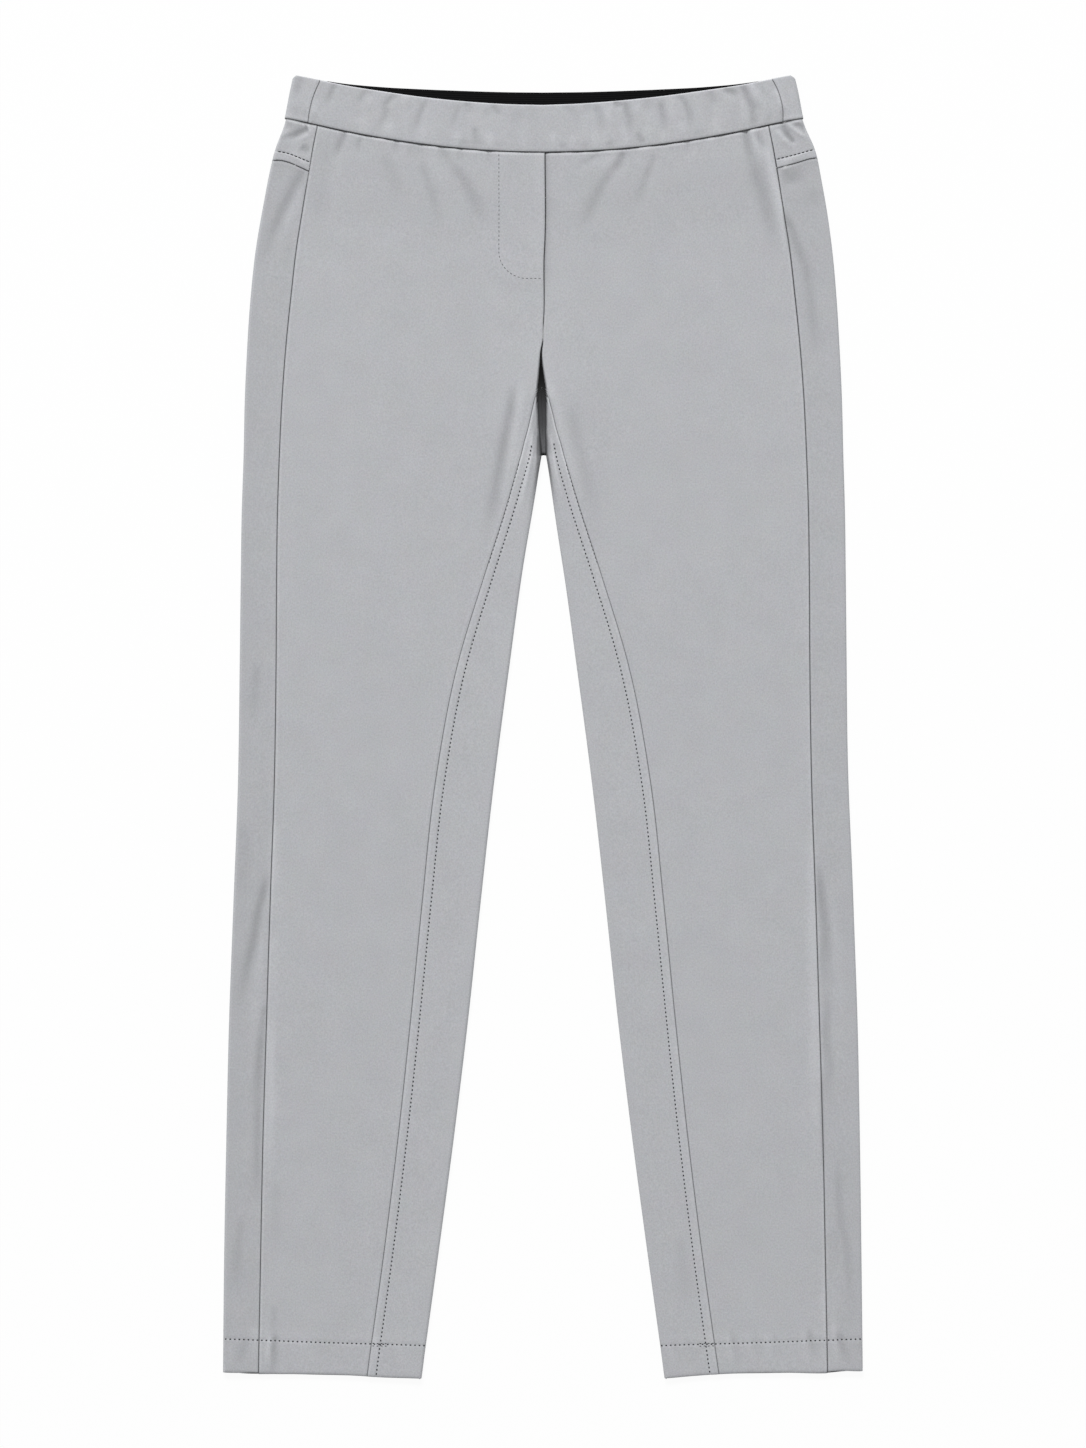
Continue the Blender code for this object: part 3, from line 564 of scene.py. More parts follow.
# How far both layers of the hem lie above its table, on the wearer's right and left.
hem_drift = {-1: curve_through(((92, -1.4), (125, -1.4), (140, -0.8), (180, -0.85), (212, -1.9), (226, -2.35),
                                (238, -1.9), (243, -1.7))),
             1: curve_through(((92, -1.2), (98, -1.05), (110, -0.4), (140, 0.75), (185, 0.15), (218, -1.3),
                               (228, -0.75), (243, -0.7)))}
FORK_DROP = 1.3             # how much lower the tip of the fork lies than its table


def drift(x, height):
    """How far both layers are moved up at the hem and down at the fork."""
    half = np.abs(x)
    hem = np.where(x < 0, hem_drift[-1](half), hem_drift[1](half)) * bump(np.maximum(height - 4, 0), 9)
    return hem - FORK_DROP * bump(height - CROTCH_TIP, 9) * bump(x, 9)


def edge_lean(x, height):
    """The cloth beyond the outseams is taken along with the side edges."""
    half = np.abs(x)
    share = ease((half - outseam(height)) / (outer_edge(height) - outseam(height)))
    return share * np.where(x < 0, -edge_line[-1](height), edge_line[1](height))


def lean(x, height):
    """The cloth beside the centre line and the fork is taken along."""
    return x + centre_line(height) * bump(x, 26) + fork_line(height) * bump(x, 12) + edge_lean(x, height)


def lift(x, height):
    """The cloth beside the yoke seam is taken along."""
    half = np.abs(x)
    near = bump(height - front_yoke_seam(half), 14) * (half > outseam(height))
    return near * np.where(x < 0, yoke_line[-1](half), yoke_line[1](half))


print("the yoke seam rises by up to", round(float(yoke_line[1](200.0)), 1), "mm")

# %% [markdown]
# ## Light lost in seams
#
# Light hardly reaches the bottom of a seam or of the crotch slit, and cloth this thin is too shallow
# for the lamp alone to show it. So every point also carries a tone, the share of the cloth's colour
# that is left there, which is painted shade. Hollows are painted darker, and the edges beside a seam
# and the ridges are painted a little paler, which is painted highlight.

# %% Tone of the cloth
# painted shade down the crotch slit, black towards its top
slit_tone = curve_through(((701, 0.33), (712, 0.25), (722, 0.15), (735, 0.105), (748, 0.045),
                           (757, 0.010), (764, 0.002), (776, 0.0)))
HOLLOW_TONE = 0.15          # painted shade for each millimetre of hollow, and painted highlight for each millimetre of ridge
SIDE_SHADE = 0.957           # painted shade: the back panels, where they show in front, are made darker than the front panels
SEAM_LINE = 0.42            # half the width of the dark line in a seam
PRESSED_LINE = 0.36         # the same at the inseam, which is pressed flat


def line_tone(distance, share, width=SEAM_LINE):
    """Light lost in a line."""
    return 1 - share * bump(np.maximum(distance - 0.1, 0), width)


def seams_tone(x, height):
    """Painted shade for the light lost in the seams. The wearer's left outseam is the darkest, most of all
    over the hip.
    """
    half = np.abs(x)
    outseam_share = np.where(x < 0, 0.46, 0.56 + 0.22 * bump(height - 830, 55))
    inseam_share = np.where(x < 0, 0.40, 0.35) - 0.07 * ease((height - 450) / 100)
    centre_share = 0.70 - 0.25 * bump(height - 785, 22)
    over_yoke = np.abs(height - front_yoke_seam(half) - YOKE_STITCH_UP)
    tone = line_tone(to_outseam(x, height), outseam_share) * line_tone(to_yoke(x, height), 0.60)
    tone *= line_tone(to_inseam(x, height), inseam_share, PRESSED_LINE)
    tone *= line_tone(to_waist(x, height), 0.85, SEAM_LINE + 0.40 * ease((half - 172) / 14))
    # painted shadow of the right front on the lower left front, beside the centre front
    tone *= line_tone(to_centre(x, height), centre_share) * (1 - 0.26 * lapped_front(x, height))
    return tone * np.where(half > outseam(height), line_tone(over_yoke, 0.22, 0.45), 1)


def painted_seam_highlight(x, height):
    """Painted highlight: how much paler the cloth is painted beside the seams, over their allowances and in
    the thread grooves.
    """
    half = np.abs(x)
    pale = np.where(half < outseam(height), 0.10, 0.035) * bump(to_outseam(x, height) - 1.45, 0.5)
    pale += 0.075 * (half < inseam(height)) * bump(to_inseam(x, height) - 1.35, 0.5)
    pale += 0.10 * bump(to_waist(x, height) - 1.5, 0.6)
    return pale + 0.06 * grooves(x, height) + 0.03 * strips(x, height)


def fork_tone(x, height):
    """Painted shade along the inner edges of the legs and beside the crotch slit, and a painted highlight
    beside the inseam near the crotch.
    """
    half = np.abs(x)
    below = height < CROTCH_TIP
    slit_edge = slit_half_width(height)
    from_fork = np.maximum(half - np.where(below, inner_edge(height), slit_edge + 0.3), 0)
    near = np.where(below, ease((height - 620) / 80), ease((724 - height) / 22))
    broad = np.where(x < 0, 0.50, 0.34)
    tone = (1 - 0.62 * near * bump(from_fork, 0.8)) * (1 - near * broad * bump(from_fork, 2.8))
    beside_slit = ease((height - 700) / 6) * ease((750 - height) / 12)
    tone *= 1 - 0.20 * beside_slit * bump(np.maximum(half - slit_edge, 0), 5)
    turned_in = np.where(x < 0, 0.44, 0.30) * ease((height - 640) / 40) * ease((721 - height) / 8)
    reach = np.where(x < 0, 4.7 + 1.1 * np.clip((717 - height) / 14, 0, 1), slit_edge + 1.6)
    tone *= 1 - turned_in * ease((reach - half) / 0.9)
    rim = (half < inseam(height)) * ease((height - 660) / 40) * bump(to_inseam(x, height) - 0.8, 0.5)
    return tone * (1 + 0.26 * rim)


def cloth_tone(x, height):
    """The share of light that reaches a point of the front layer, painted into its colour: painted shade, and
    painted highlight where it is above 1.
    """
    half = np.abs(x)
    tone = seams_tone(x, height) * fork_tone(x, height)
    tone *= 1 + painted_seam_highlight(x, height) + HOLLOW_TONE * crease_height(FRONT_CREASES, x, height)
    # painted shade along the folded lower edge of the front, strongest just outside the outseam
    from_hem = np.maximum(height - hem_line(half) - HEM_STEP, 0)
    tone *= 1 - (0.17 + 0.30 * bump(half - 222, 8)) * bump(from_hem, 0.9)
    tone *= 1 + 0.025 * (x < 0) * ease(fly_distance(x, height) / 2)
    tone *= np.where((half > outseam(height)) & (height < front_yoke_seam(half)), SIDE_SHADE, 1)
    # painted shade in the crotch slit, darkest at its sides and at its lower end
    from_slit = half - slit_half_width(height)
    slit = slit_tone(height) * (1 - 0.7 * bump(from_slit, 0.8)) * ease((height - CROTCH_TIP - 0.7) / 1.3)
    inside = ease(1 - (from_slit + 0.2) / 0.5) * (height > CROTCH) * ease((SLIT_TOP + 8 - height) / 9)
    return mix(tone, slit, inside)


print("tone in the waist seam:", round(float(cloth_tone(np.array(60.0), waist_seam(60.0))), 2))

# %% [markdown]
# ## Blocks of points
#
# A block is a grid of points: x, height, z and tone. There is one kind on top, one underneath and one
# round a side fold, and blocks of the same piece are put beside or above each other.

# %% Blocks
Block = namedtuple("Block", "x height z tone")


def top_block(side, x, height):
    """Points on top of the front layer."""
    z = cloth_top(side * x, height)
    level = height + lift(side * x, height)
    return Block(lean(side * x, height), level, z, cloth_tone(side * x, height))


def under_block(side, x, height):
    """Points on the underside."""
    # painted shade where the back hem shows below the front one
    hem = 1 - 0.94 * bump(height - hem_line(x), 2.2)
    straight = side * x + edge_lean(side * x, height)
    straight = mix(lean(side * x, height), straight, ease((height - 745) / 60))
    return Block(straight, height, underside(side * x, height), hem)


def fold_block(side, edge, inward, level, top, degrees, bottom=0.0):
    """Points round a side fold: 90 degrees is on top, 0 at the edge, -90 underneath."""
    turn = np.radians(np.array(degrees, float))[None, :]
    x = side * (edge[:, None] + inward * (1 - np.cos(turn)))
    bottom = np.broadcast_to(bottom, top.shape)
    z = bottom[:, None] + (top - bottom)[:, None] / 2 * (1 + np.sin(turn))
    level = np.broadcast_to(level[:, None], x.shape)
    # painted shade on the side folds near the crotch, and in the waist seam
    fork = 1 - 0.55 * ease((level - 655) / 40) * (np.abs(x) < 40)
    tone = fork * line_tone(to_waist(x, level), 0.80, 0.75)
    return Block(lean(x, level), level + lift(x, level) * (1 + np.sin(turn)) / 2, z, tone)


def beside(*blocks):
    """Blocks side by side in the same rows."""
    return Block(*(np.concatenate(parts, axis=1) for parts in zip(*blocks)))


def above(*blocks):
    """Blocks on top of each other in the same columns."""
    return Block(*(np.concatenate(parts, axis=0) for parts in zip(*blocks)))


print("each block holds:", *Block._fields)

# %% [markdown]
# ## From blocks to cloth
#
# `bmesh.ops.create_grid` makes the faces and every vertex is then moved to its place. Sheets that share
# an edge are joined where their points meet, turned so that their faces look outwards, and given a wall
# by a Solidify modifier, which is thicker where the hem is doubled.

# %% Making a piece
def add_sheet(bm, block):
    """One grid of faces through rows of points."""
    tone_layer = bm.verts.layers.float["tone"]
    rows, columns = block.x.shape
    made = bmesh.ops.create_grid(bm, x_segments=columns - 1, y_segments=rows - 1, size=1.0)
    level = block.height + drift(block.x, block.height)
    points = np.stack((block.x, level - LENGTH / 2, block.z), axis=-1).reshape(-1, 3) * MM
    for vert, point, tone in zip(made["verts"], points, block.tone.ravel()):
        vert.co = point
        vert[tone_layer] = tone


def link(name, bm, material):
    """A mesh object from a bmesh, riding on the one body of the model."""
    mesh = bpy.data.meshes.new(name)
    bm.to_mesh(mesh)
    bm.free()
    mesh.shade_smooth()
    mesh.materials.append(material)
    piece = bpy.data.objects.new(name, mesh)
    bpy.context.collection.objects.link(piece)
    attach(piece, "root")
    return piece


def make_cloth(name, blocks, material, node, hem=True, wall=CLOTH):
    """A piece of cloth from sheets of points, in the place of a CAD node."""
    bm = bmesh.new()
    bm.verts.layers.float.new("tone")
    for block in blocks:
        add_sheet(bm, block)
    bmesh.ops.remove_doubles(bm, verts=bm.verts, dist=0.002 * MM)
    bmesh.ops.recalc_face_normals(bm, faces=bm.faces)
    bm.faces.ensure_lookup_table()
    upper = max(bm.faces, key=lambda face: face.calc_center_median().z * abs(face.normal.z))
    if upper.normal.z < 0:
        bmesh.ops.reverse_faces(bm, faces=bm.faces)
    doubled = [v.index for v in bm.verts
               if v.co.y / MM + LENGTH / 2 - hem_line(abs(v.co.x) / MM) < HEM_DEPTH] if hem else []
    piece = link(name, bm, material)
    solidify = piece.modifiers.new("Wall of the cloth", "SOLIDIFY")
    solidify.offset = -1
    solidify.thickness = wall * MM
    if doubled:
        group = piece.vertex_groups.new(name="doubled hem")
        group.add(doubled, 1.0, "REPLACE")
        solidify.vertex_group = group.name
        solidify.thickness = HEM_CLOTH * MM
        solidify.thickness_vertex_group = wall / HEM_CLOTH
    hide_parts(node)
    low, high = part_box(node)
    points = np.array([v.co for v in piece.data.vertices])
    off = np.concatenate((points.min(0) - np.array(low), points.max(0) - np.array(high))) / MM
    print(f"{name}: {len(piece.data.polygons)} faces, off its solid by", off.round(1).tolist(), "mm")
    return piece


# %% [markdown]
# ## Cloth, thread and elastic
#
# The trousers are a matt, tightly knitted stretch cloth. Its colour varies by about one part in a
# hundred, its surface has a fine grain a little under a millimetre across, and its fibres catch a
# little light at grazing angles, which is sheen. The tone stored on the mesh is painted shade in the
# deepest parts of seams and of the crotch slit, where cloth lies against cloth and light hardly
# reaches, and painted highlight beside the seams.

# %% Materials
CLOTH_COLOUR = (0.465, 0.472, 0.493, 1.0)
# near black, far darker than the grey thread itself: painted shade of the holes and grooves the stitches sit
# in
THREAD_AND_STITCH_SHADE_COLOUR = (0.035, 0.037, 0.041, 1.0)
BLACK = (0.0046, 0.0046, 0.0049, 1.0)
NOISE_LOW, NOISE_HIGH = 0.25, 0.75      # most of a noise's values lie between these


def socket_of(sockets, identifier):
    return next(socket for socket in sockets if socket.identifier == identifier)


class Finish:
    """A Principled material with a few helpers to wire its nodes."""

    def __init__(self, name, colour, roughness, sheen=0.0, specular=0.2):
        self.material = bpy.data.materials.new(name)
        self.material.use_nodes = True
        self.tree = self.material.node_tree
        self.shader = self.tree.nodes["Principled BSDF"]
        self.shader.inputs["Base Color"].default_value = colour
        self.shader.inputs["Roughness"].default_value = roughness
        self.shader.inputs["Sheen Weight"].default_value = sheen
        self.shader.inputs["Sheen Roughness"].default_value = 0.5
        self.shader.inputs["Specular IOR Level"].default_value = specular
        self.colour = colour

    def node(self, kind, **settings):
        made = self.tree.nodes.new("ShaderNode" + kind)
        for name, value in settings.items():
            setattr(made, name, value)
        return made

    def wire(self, out, into):
        self.tree.links.new(out, into)

    def place(self, scale=(1, 1, 1)):
        """Object coordinates, in metres, with a scale along each axis."""
        mapping = self.node("Mapping")
        mapping.inputs["Scale"].default_value = scale
        self.wire(self.node("TexCoord").outputs["Object"], mapping.inputs["Vector"])
        return mapping.outputs["Vector"]

    def noise(self, scale, detail=2.0, stretch=(1, 1, 1)):
        made = self.node("TexNoise")
        made.inputs["Scale"].default_value = scale
        made.inputs["Detail"].default_value = detail
        self.wire(self.place(stretch), made.inputs["Vector"])
        return made.outputs["Fac"]

    def ribs(self, scale, direction, distortion=0.0):
        made = self.node("TexWave", bands_direction=direction)
        made.inputs["Scale"].default_value = scale
        made.inputs["Distortion"].default_value = distortion
        self.wire(self.place(), made.inputs["Vector"])
        return made.outputs["Fac"]

    def to_range(self, value, low, high):
        made = self.node("MapRange")
        made.inputs["From Min"].default_value = NOISE_LOW
        made.inputs["From Max"].default_value = NOISE_HIGH
        made.inputs["To Min"].default_value = low
        made.inputs["To Max"].default_value = high
        self.wire(value, made.inputs["Value"])
        return made.outputs["Result"]

    def motley(self, scale, low, high):
        """A colour that is near white, with its own noise in red, green and blue."""
        made = self.node("MapRange", data_type="FLOAT_VECTOR")
        for name, value in (("From_Min_FLOAT3", NOISE_LOW), ("From_Max_FLOAT3", NOISE_HIGH),
                            ("To_Min_FLOAT3", low), ("To_Max_FLOAT3", high)):
            socket_of(made.inputs, name).default_value = (value, value, value)
        noise = self.node("TexNoise")
        noise.inputs["Scale"].default_value = scale
        self.wire(self.place(), noise.inputs["Vector"])
        self.wire(noise.outputs["Color"], socket_of(made.inputs, "Vector"))
        return socket_of(made.outputs, "Vector")

    def tint(self, *factors, motley=()):
        """The base colour times each factor."""
        out = None
        for factor in factors:
            times = self.node("VectorMath", operation="SCALE")
            times.inputs[0].default_value = self.colour[:3]
            if out:
                self.wire(out, times.inputs[0])
            self.wire(factor, times.inputs["Scale"])
            out = times.outputs["Vector"]
        for colour in motley:
            times = self.node("VectorMath", operation="MULTIPLY")
            self.wire(out, times.inputs[0])
            self.wire(colour, times.inputs[1])
            out = times.outputs["Vector"]
        self.wire(out, self.shader.inputs["Base Color"])

    def relief(self, *layers):
        """Fine relief from (value, height in metres) layers."""
        normal = None
        for value, height in layers:
            made = self.node("Bump")
            made.inputs["Distance"].default_value = height
            self.wire(value, made.inputs["Height"])
            if normal:
                self.wire(normal, made.inputs["Normal"])
            normal = made.outputs["Normal"]
        self.wire(normal, self.shader.inputs["Normal"])


def knitted_cloth():
    finish = Finish("grey_stretch_knit", CLOTH_COLOUR, 0.82, sheen=0.06)
    tone = finish.node("Attribute", attribute_name="tone").outputs["Fac"]
    clouds = finish.to_range(finish.noise(42, 4.0), 0.975, 1.025)
    grain = finish.noise(980, 2.0, (1, 0.8, 1))
    finish.tint(tone, clouds, finish.to_range(grain, 0.89, 1.11),
                motley=(finish.motley(60, 0.992, 1.008), finish.motley(700, 0.975, 1.025)))
    finish.relief((finish.ribs(320, "X", 1.2), 0.00003), (grain, 0.00007))
    return finish.material


def sewing_thread():
    finish = Finish("grey_thread_with_painted_shade", THREAD_AND_STITCH_SHADE_COLOUR, 0.6, sheen=0.15)
    twist = finish.noise(2600, 1.0)
    finish.tint(finish.to_range(twist, 0.75, 1.25))
    finish.relief((twist, 0.00006))
    return finish.material


def ribbed_elastic():
    finish = Finish("black_ribbed_elastic", BLACK, 0.85, specular=0.08)
    weave = finish.noise(1500, 2.0, (0.4, 1, 1))
    finish.tint(finish.to_range(weave, 0.7, 1.5))
    finish.relief((weave, 0.00010))
    return finish.material


cloth, thread, elastic = knitted_cloth(), sewing_thread(), ribbed_elastic()
print("materials:", cloth.name, thread.name, elastic.name)

# %% [markdown]
# ## Front panels
#
# Each front panel reaches from its outseam to the inseam, and above the crotch to the centre front. It
# is one grid, read off the height function.

# %% Front panels
SIDES = ((-1, "right"), (1, "left"))
FRONT_TOP = float(waist_seam(0))
hip_levels = spread(JUNCTION, FRONT_TOP, (0,), NEAR_SEAM, 58)


def front_panel(side):
    levels = np.concatenate((LEG_LEVELS, [CROTCH_TIP], SLIT_LEVELS, hip_levels))
    outer = crossing(levels, outseam, row_on_front) - GAP / 2
    gap = GAP * ease((levels - 768) / 16)
    inner = crossing(levels, inseam, row_on_front) + np.where(levels < JUNCTION, INSEAM_GAP, gap) / 2
    x = spread(inner, outer, NEAR_SLIT, NEAR_SEAM, 78)
    return top_block(side, x, row_on_front(levels[:, None], x))


for side, name in SIDES:
    make_cloth("front_cloth_" + name, [front_panel(side)], cloth, "front_panel_" + name)

# %% [markdown]
# ## Back panels
#
# A back panel is wider than the leg is at the back. It starts in front, at the inseam, turns round the
# inner edge of the leg, lies under the front, turns round the outer edge and ends in front again, at
# the outseam. Above the crotch its inner strip runs down into the slit.

# %% Back panels
QUARTER = (75, 60, 45, 30, 15, 0)
UNDER_QUARTER = (0, -18, -36, -54, -72, -90)
FOLD_TURN = np.linspace(75, -75, 11)    # degrees round a side fold, from the top to the underside
STRIP_COLUMNS = 14


def inner_strip(side):
    """From the inseam to the edge of the leg or the floor of the slit, on top."""
    levels = LEG_LEVELS
    seam = crossing(levels, inseam, row_on_front) - INSEAM_GAP / 2
    edge = crossing(levels, inner_edge, row_on_front)
    start = edge + EDGE_FOLD
    x = spread(seam, start, NEAR_TOPSTITCH, (0, 1.0), STRIP_COLUMNS)
    flat = top_block(side, x, row_on_front(levels[:, None], x))
    level = row_on_front(levels, edge)
    leg = beside(flat, fold_block(side, edge, EDGE_FOLD, level, flat.z[:, -1], QUARTER))

    levels = np.concatenate(([CROTCH_TIP], SLIT_LEVELS))
    seam = inseam(levels) - INSEAM_GAP / 2
    start = np.minimum(slit_half_width(levels) + SLIT_LIP, mix(GAP / 2, seam, 0.75))
    x = spread(seam, start, NEAR_TOPSTITCH, (0, 1.0), STRIP_COLUMNS)
    down = mix(start[:, None], 0.0, np.linspace(0, 1, len(QUARTER) + 1)[1:])
    x = np.concatenate((x, down), axis=1)
    slit = top_block(side, x, np.broadcast_to(levels[:, None], x.shape))
    slit.z[0, -1] = SLIT_FLOOR / 2
    return above(leg, slit)


def back_part(side):
    """From the inner edge or centre back, underneath, and round the outer edge to the outseam."""
    levels = np.concatenate((LEG_LEVELS, [CROTCH_TIP], SLIT_LEVELS[::2], back_hip_levels))
    leg = levels < CROTCH_TIP
    outer = crossing(levels, outer_edge, row_on_side)
    last = outer - EDGE_FOLD
    edge = crossing(levels, inner_edge, row_on_front)
    top = cloth_top(side * (edge + EDGE_FOLD), row_on_front(levels, edge + EDGE_FOLD))
    turned = fold_block(side, edge, EDGE_FOLD, row_on_front(levels, edge), top, UNDER_QUARTER)
    back_level = row_on_back(levels[:, None], np.abs(turned.x))
    share = np.linspace(0, 1, len(UNDER_QUARTER))
    turned = turned._replace(height=mix(turned.height, back_level, share))
    centre = np.broadcast_to(np.array((GAP / 2, 0.3, 0.6, 1.1, 2.0, 3.2)), turned.x.shape)
    flat = under_block(side, centre, row_on_back(levels[:, None], centre))
    first_columns = Block(*(np.where(leg[:, None], a, b) for a, b in zip(turned, flat)))
    tip = int(np.argmin(leg))
    first_columns.z[tip] = SLIT_FLOOR / 2 * np.array((1, 0.8, 0.6, 0.35, 0.12, 0))
    first_columns.height[tip] = CROTCH_TIP
    first = np.where(leg, edge + EDGE_FOLD, 3.2)
    x = spread(first, last, (0,), (0,), 62)[:, 1:]
    below = under_block(side, x, row_on_back(levels[:, None], x))
    level = row_on_side(levels, outer)
    top = cloth_top(side * last, row_on_side(levels, last))
    turn = fold_block(side, outer, -EDGE_FOLD, level, top, FOLD_TURN[::-1], below.z[:, -1])
    seam = crossing(levels, outseam, row_on_side) + GAP / 2
    x = spread(last, seam, (0, 1.0), NEAR_SEAM, 9)
    return beside(first_columns, below, turn, top_block(side, x, row_on_side(levels[:, None], x)))


back_hip_levels = spread(JUNCTION, float(front_yoke_seam(YOKE_CORNER)), (0,), NEAR_SEAM, 50)
for side, name in SIDES:
    sheets = [inner_strip(side), back_part(side)]
    make_cloth("back_cloth_" + name, sheets, cloth, "back_panel_" + name)

# %% [markdown]
# ## Yokes
#
# A yoke is the shaped piece between the back panel and the waistband. A short end of it shows in
# front, beside the outseam, topstitched just above its lower seam.

# %% Yokes
YOKE_LEVELS = spread(0.0, 1.0, [n / 38 for n in NEAR_TOPSTITCH], [n / 38 for n in NEAR_SEAM], 16)


def yoke(side):
    def level(x, low, high):
        return mix(low(x) + GAP / 2, high(x) - GAP / 2, YOKE_LEVELS[:, None])

    mid = mix(front_yoke_seam(174.0), waist_seam(174.0), YOKE_LEVELS)
    seam = outseam(mid) + GAP / 2
    outer = outer_edge(mix(924, 956, YOKE_LEVELS))
    last = outer - EDGE_FOLD
    x = spread(seam, last, NEAR_SEAM, (0, 1.0), 16)
    front = top_block(side, x, level(x, front_yoke_seam, waist_seam))
    x = spread(last, np.full(last.shape, GAP / 2), (0, 1.0), (0, 0.3, 0.8, 1.8), 62)
    under = under_block(side, x, level(x, back_yoke_seam, back_waist_seam))
    edge_level = mix(front_yoke_seam(outer) + GAP / 2, waist_seam(outer) - GAP / 2, YOKE_LEVELS)
    turn = fold_block(side, outer, -EDGE_FOLD, edge_level, front.z[:, -1], FOLD_TURN, under.z[:, 0])
    return beside(front, turn, under)


for side, name in SIDES:
    make_cloth("yoke_cloth_" + name, [yoke(side)], cloth, "yoke_" + name, hem=False)

# %% [markdown]
# ## Waistband
#
# The waistband is a strip folded over elastic. It goes up the outside, over its top edge and down the
# inside, so a section through it is an upside-down U. The elastic inside draws it in, which leaves
# short upright gathers, more of them on the wearer's left.

# %% Gathers
BAND_TOP = 6.4              # height of the band's outer face above the table
FRONT_BAND_WALL = 2.6
BACK_BAND_WALL = 2.2
BAND_FOLD = 3.2             # how far round its fold the back band takes
BAND_EDGES = (196.4, 190.6)     # half its width at the seam and at the top
BAND_DRIFT = 1.5            # how much further it reaches round on the wearer's left
BAND_TILT = 0.4             # the waistband stands this much higher on the wearer's left
# Side seams of the waistband: distance from the centre line at a share of its depth, on each side.
BAND_SEAMS = {-1: curve_through(((0, 178.6), (0.3, 177.2), (0.65, 174.2), (1, 169.6))),
              1: curve_through(((0, 182.2), (0.25, 182.2), (0.55, 180.3), (0.8, 177.6), (1, 174.3)))}

FRONT_GATHERS = creases(
    (2.0, -0.90, (-157, 984), (-158, 981), (-160, 976), (-162.5, 969), (-163.5, 962)),
    (2.0, -0.60, (-134, 979), (-136, 974), (-138.5, 969.5), (-140, 964)),
    (2.5, -0.35, (-127, 976), (-136, 975)),
    (2.4, -0.85, (-108, 975), (-112, 973), (-116, 970), (-119, 966), (-119, 959), (-121, 953),
     (-125, 948), (-130, 944)),
    (2.2, -0.75, (-88, 972), (-89.5, 967), (-92, 961), (-94, 955), (-95.5, 951), (-97, 946), (-99, 940)),
    (2.0, -0.50, (-63, 967), (-66, 957), (-68, 951), (-69, 944)),
    (2.4, -0.75, (-59, 969), (-56.7, 965), (-55.5, 961), (-54, 956)),
    (2.0, -0.85, (-52, 950), (-51, 944), (-50.5, 940), (-48, 935), (-46, 930)),
    (2.2, -0.75, (-39, 967), (-36.5, 963), (-34, 960), (-32, 955)),
    (2.0, -0.35, (-43, 964), (-42, 954)), (4.0, -0.25, (-18, 962), (-18, 948)),
    (2.6, -0.80, (-182, 990), (-184, 985), (-186, 979), (-186.5, 975), (-188, 968)),
    (2.6, 0.45, (-172, 972), (-172, 960), (-171, 950)), (4.0, 0.35, (-140, 958), (-136, 948), (-134, 938)),
    (3.6, 0.35, (-116, 954), (-115.5, 946), (-115, 936)), (2.6, 0.35, (-91, 950), (-91, 942), (-91, 932)),
    (3.2, 0.50, (-66, 946), (-65, 938), (-65, 930)), (3.4, 0.50, (-41, 946), (-39.5, 938), (-39, 928)),
    (2.4, 0.35, (-131, 972), (-131, 962)), (2.4, 0.35, (-104, 974), (-104, 964)),
    (2.2, -0.40, (14, 968), (18, 964), (25, 958), (27, 952), (27.5, 946), (28.5, 938)),
    (3.0, -0.40, (33, 968), (34, 962), (35, 956)),
    (2.4, -0.75, (39, 968), (41, 963), (43, 958), (44.6, 952), (45.3, 947), (46, 938)),
    (1.8, -1.2, (54, 969), (57, 966.5), (60, 963)),
    (2.4, -1.05, (61, 970), (63, 965), (64, 960.5), (66, 955), (66.5, 950), (66.5, 944), (67.5, 937)),
    (2.0, -0.75, (71.5, 946), (73.5, 941.5), (75.5, 938), (77, 933)),
    (3.4, -0.50, (80, 974), (80.5, 966), (81, 957)),
    (2.0, -0.95, (88.5, 970), (90.5, 962), (92.2, 955), (93, 950), (94, 946), (95, 940)),
    (2.0, -1.05, (99, 973), (102, 972), (105.5, 971), (109, 965), (111.5, 959), (112.5, 954),
     (113.5, 948), (114, 942)),
    (2.8, -0.65, (125, 977), (128, 973), (131, 968), (133, 962)),
    (2.2, -1.3, (137, 979), (140, 977), (143.5, 975.5), (147, 973.5), (150, 972)),
    (2.3, -1.45, (149.5, 985), (152, 979.5), (154.5, 974), (156.5, 969), (159.5, 963.5), (160, 958),
     (160.3, 950), (160.5, 942)),
    (1.6, -0.7, (159, 987), (162, 983), (164, 980.5), (166, 977.5), (168.5, 972), (170, 966)),
    (2.0, -0.35, (168, 986), (169.5, 980)), (2.2, 0.70, (176, 978), (178.5, 972), (180, 966), (180, 960)),
    (1.4, 0.45, (163, 984), (166, 975), (169.5, 962), (171, 955)),
    (3.4, 0.45, (152, 972), (154, 960), (155, 946)), (3.0, 0.40, (105, 954), (106, 945), (107, 936)),
    (3.6, 0.30, (133, 958), (131.6, 948), (131, 938)), (2.8, 0.55, (61, 950), (63, 940), (64, 930)),
    (3.4, 0.35, (80, 950), (80, 940), (80, 932)), (2.6, 0.40, (91, 946), (92, 940), (92, 932)),
    (3.0, 0.35, (39, 946), (40, 937), (40, 928)), (3.0, 0.35, (22, 944), (22.5, 936), (22.5, 928)),
    (3.0, 0.35, (8, 946), (8, 937), (8, 928)), (2.4, 0.40, (50, 966), (51, 956), (51, 948)),
    (2.4, 0.35, (72, 968), (72, 956)), (2.4, 0.40, (97, 972), (98, 960), (99, 950)),
    (2.2, 0.60, (157, 984), (161, 974), (165, 964)),
)
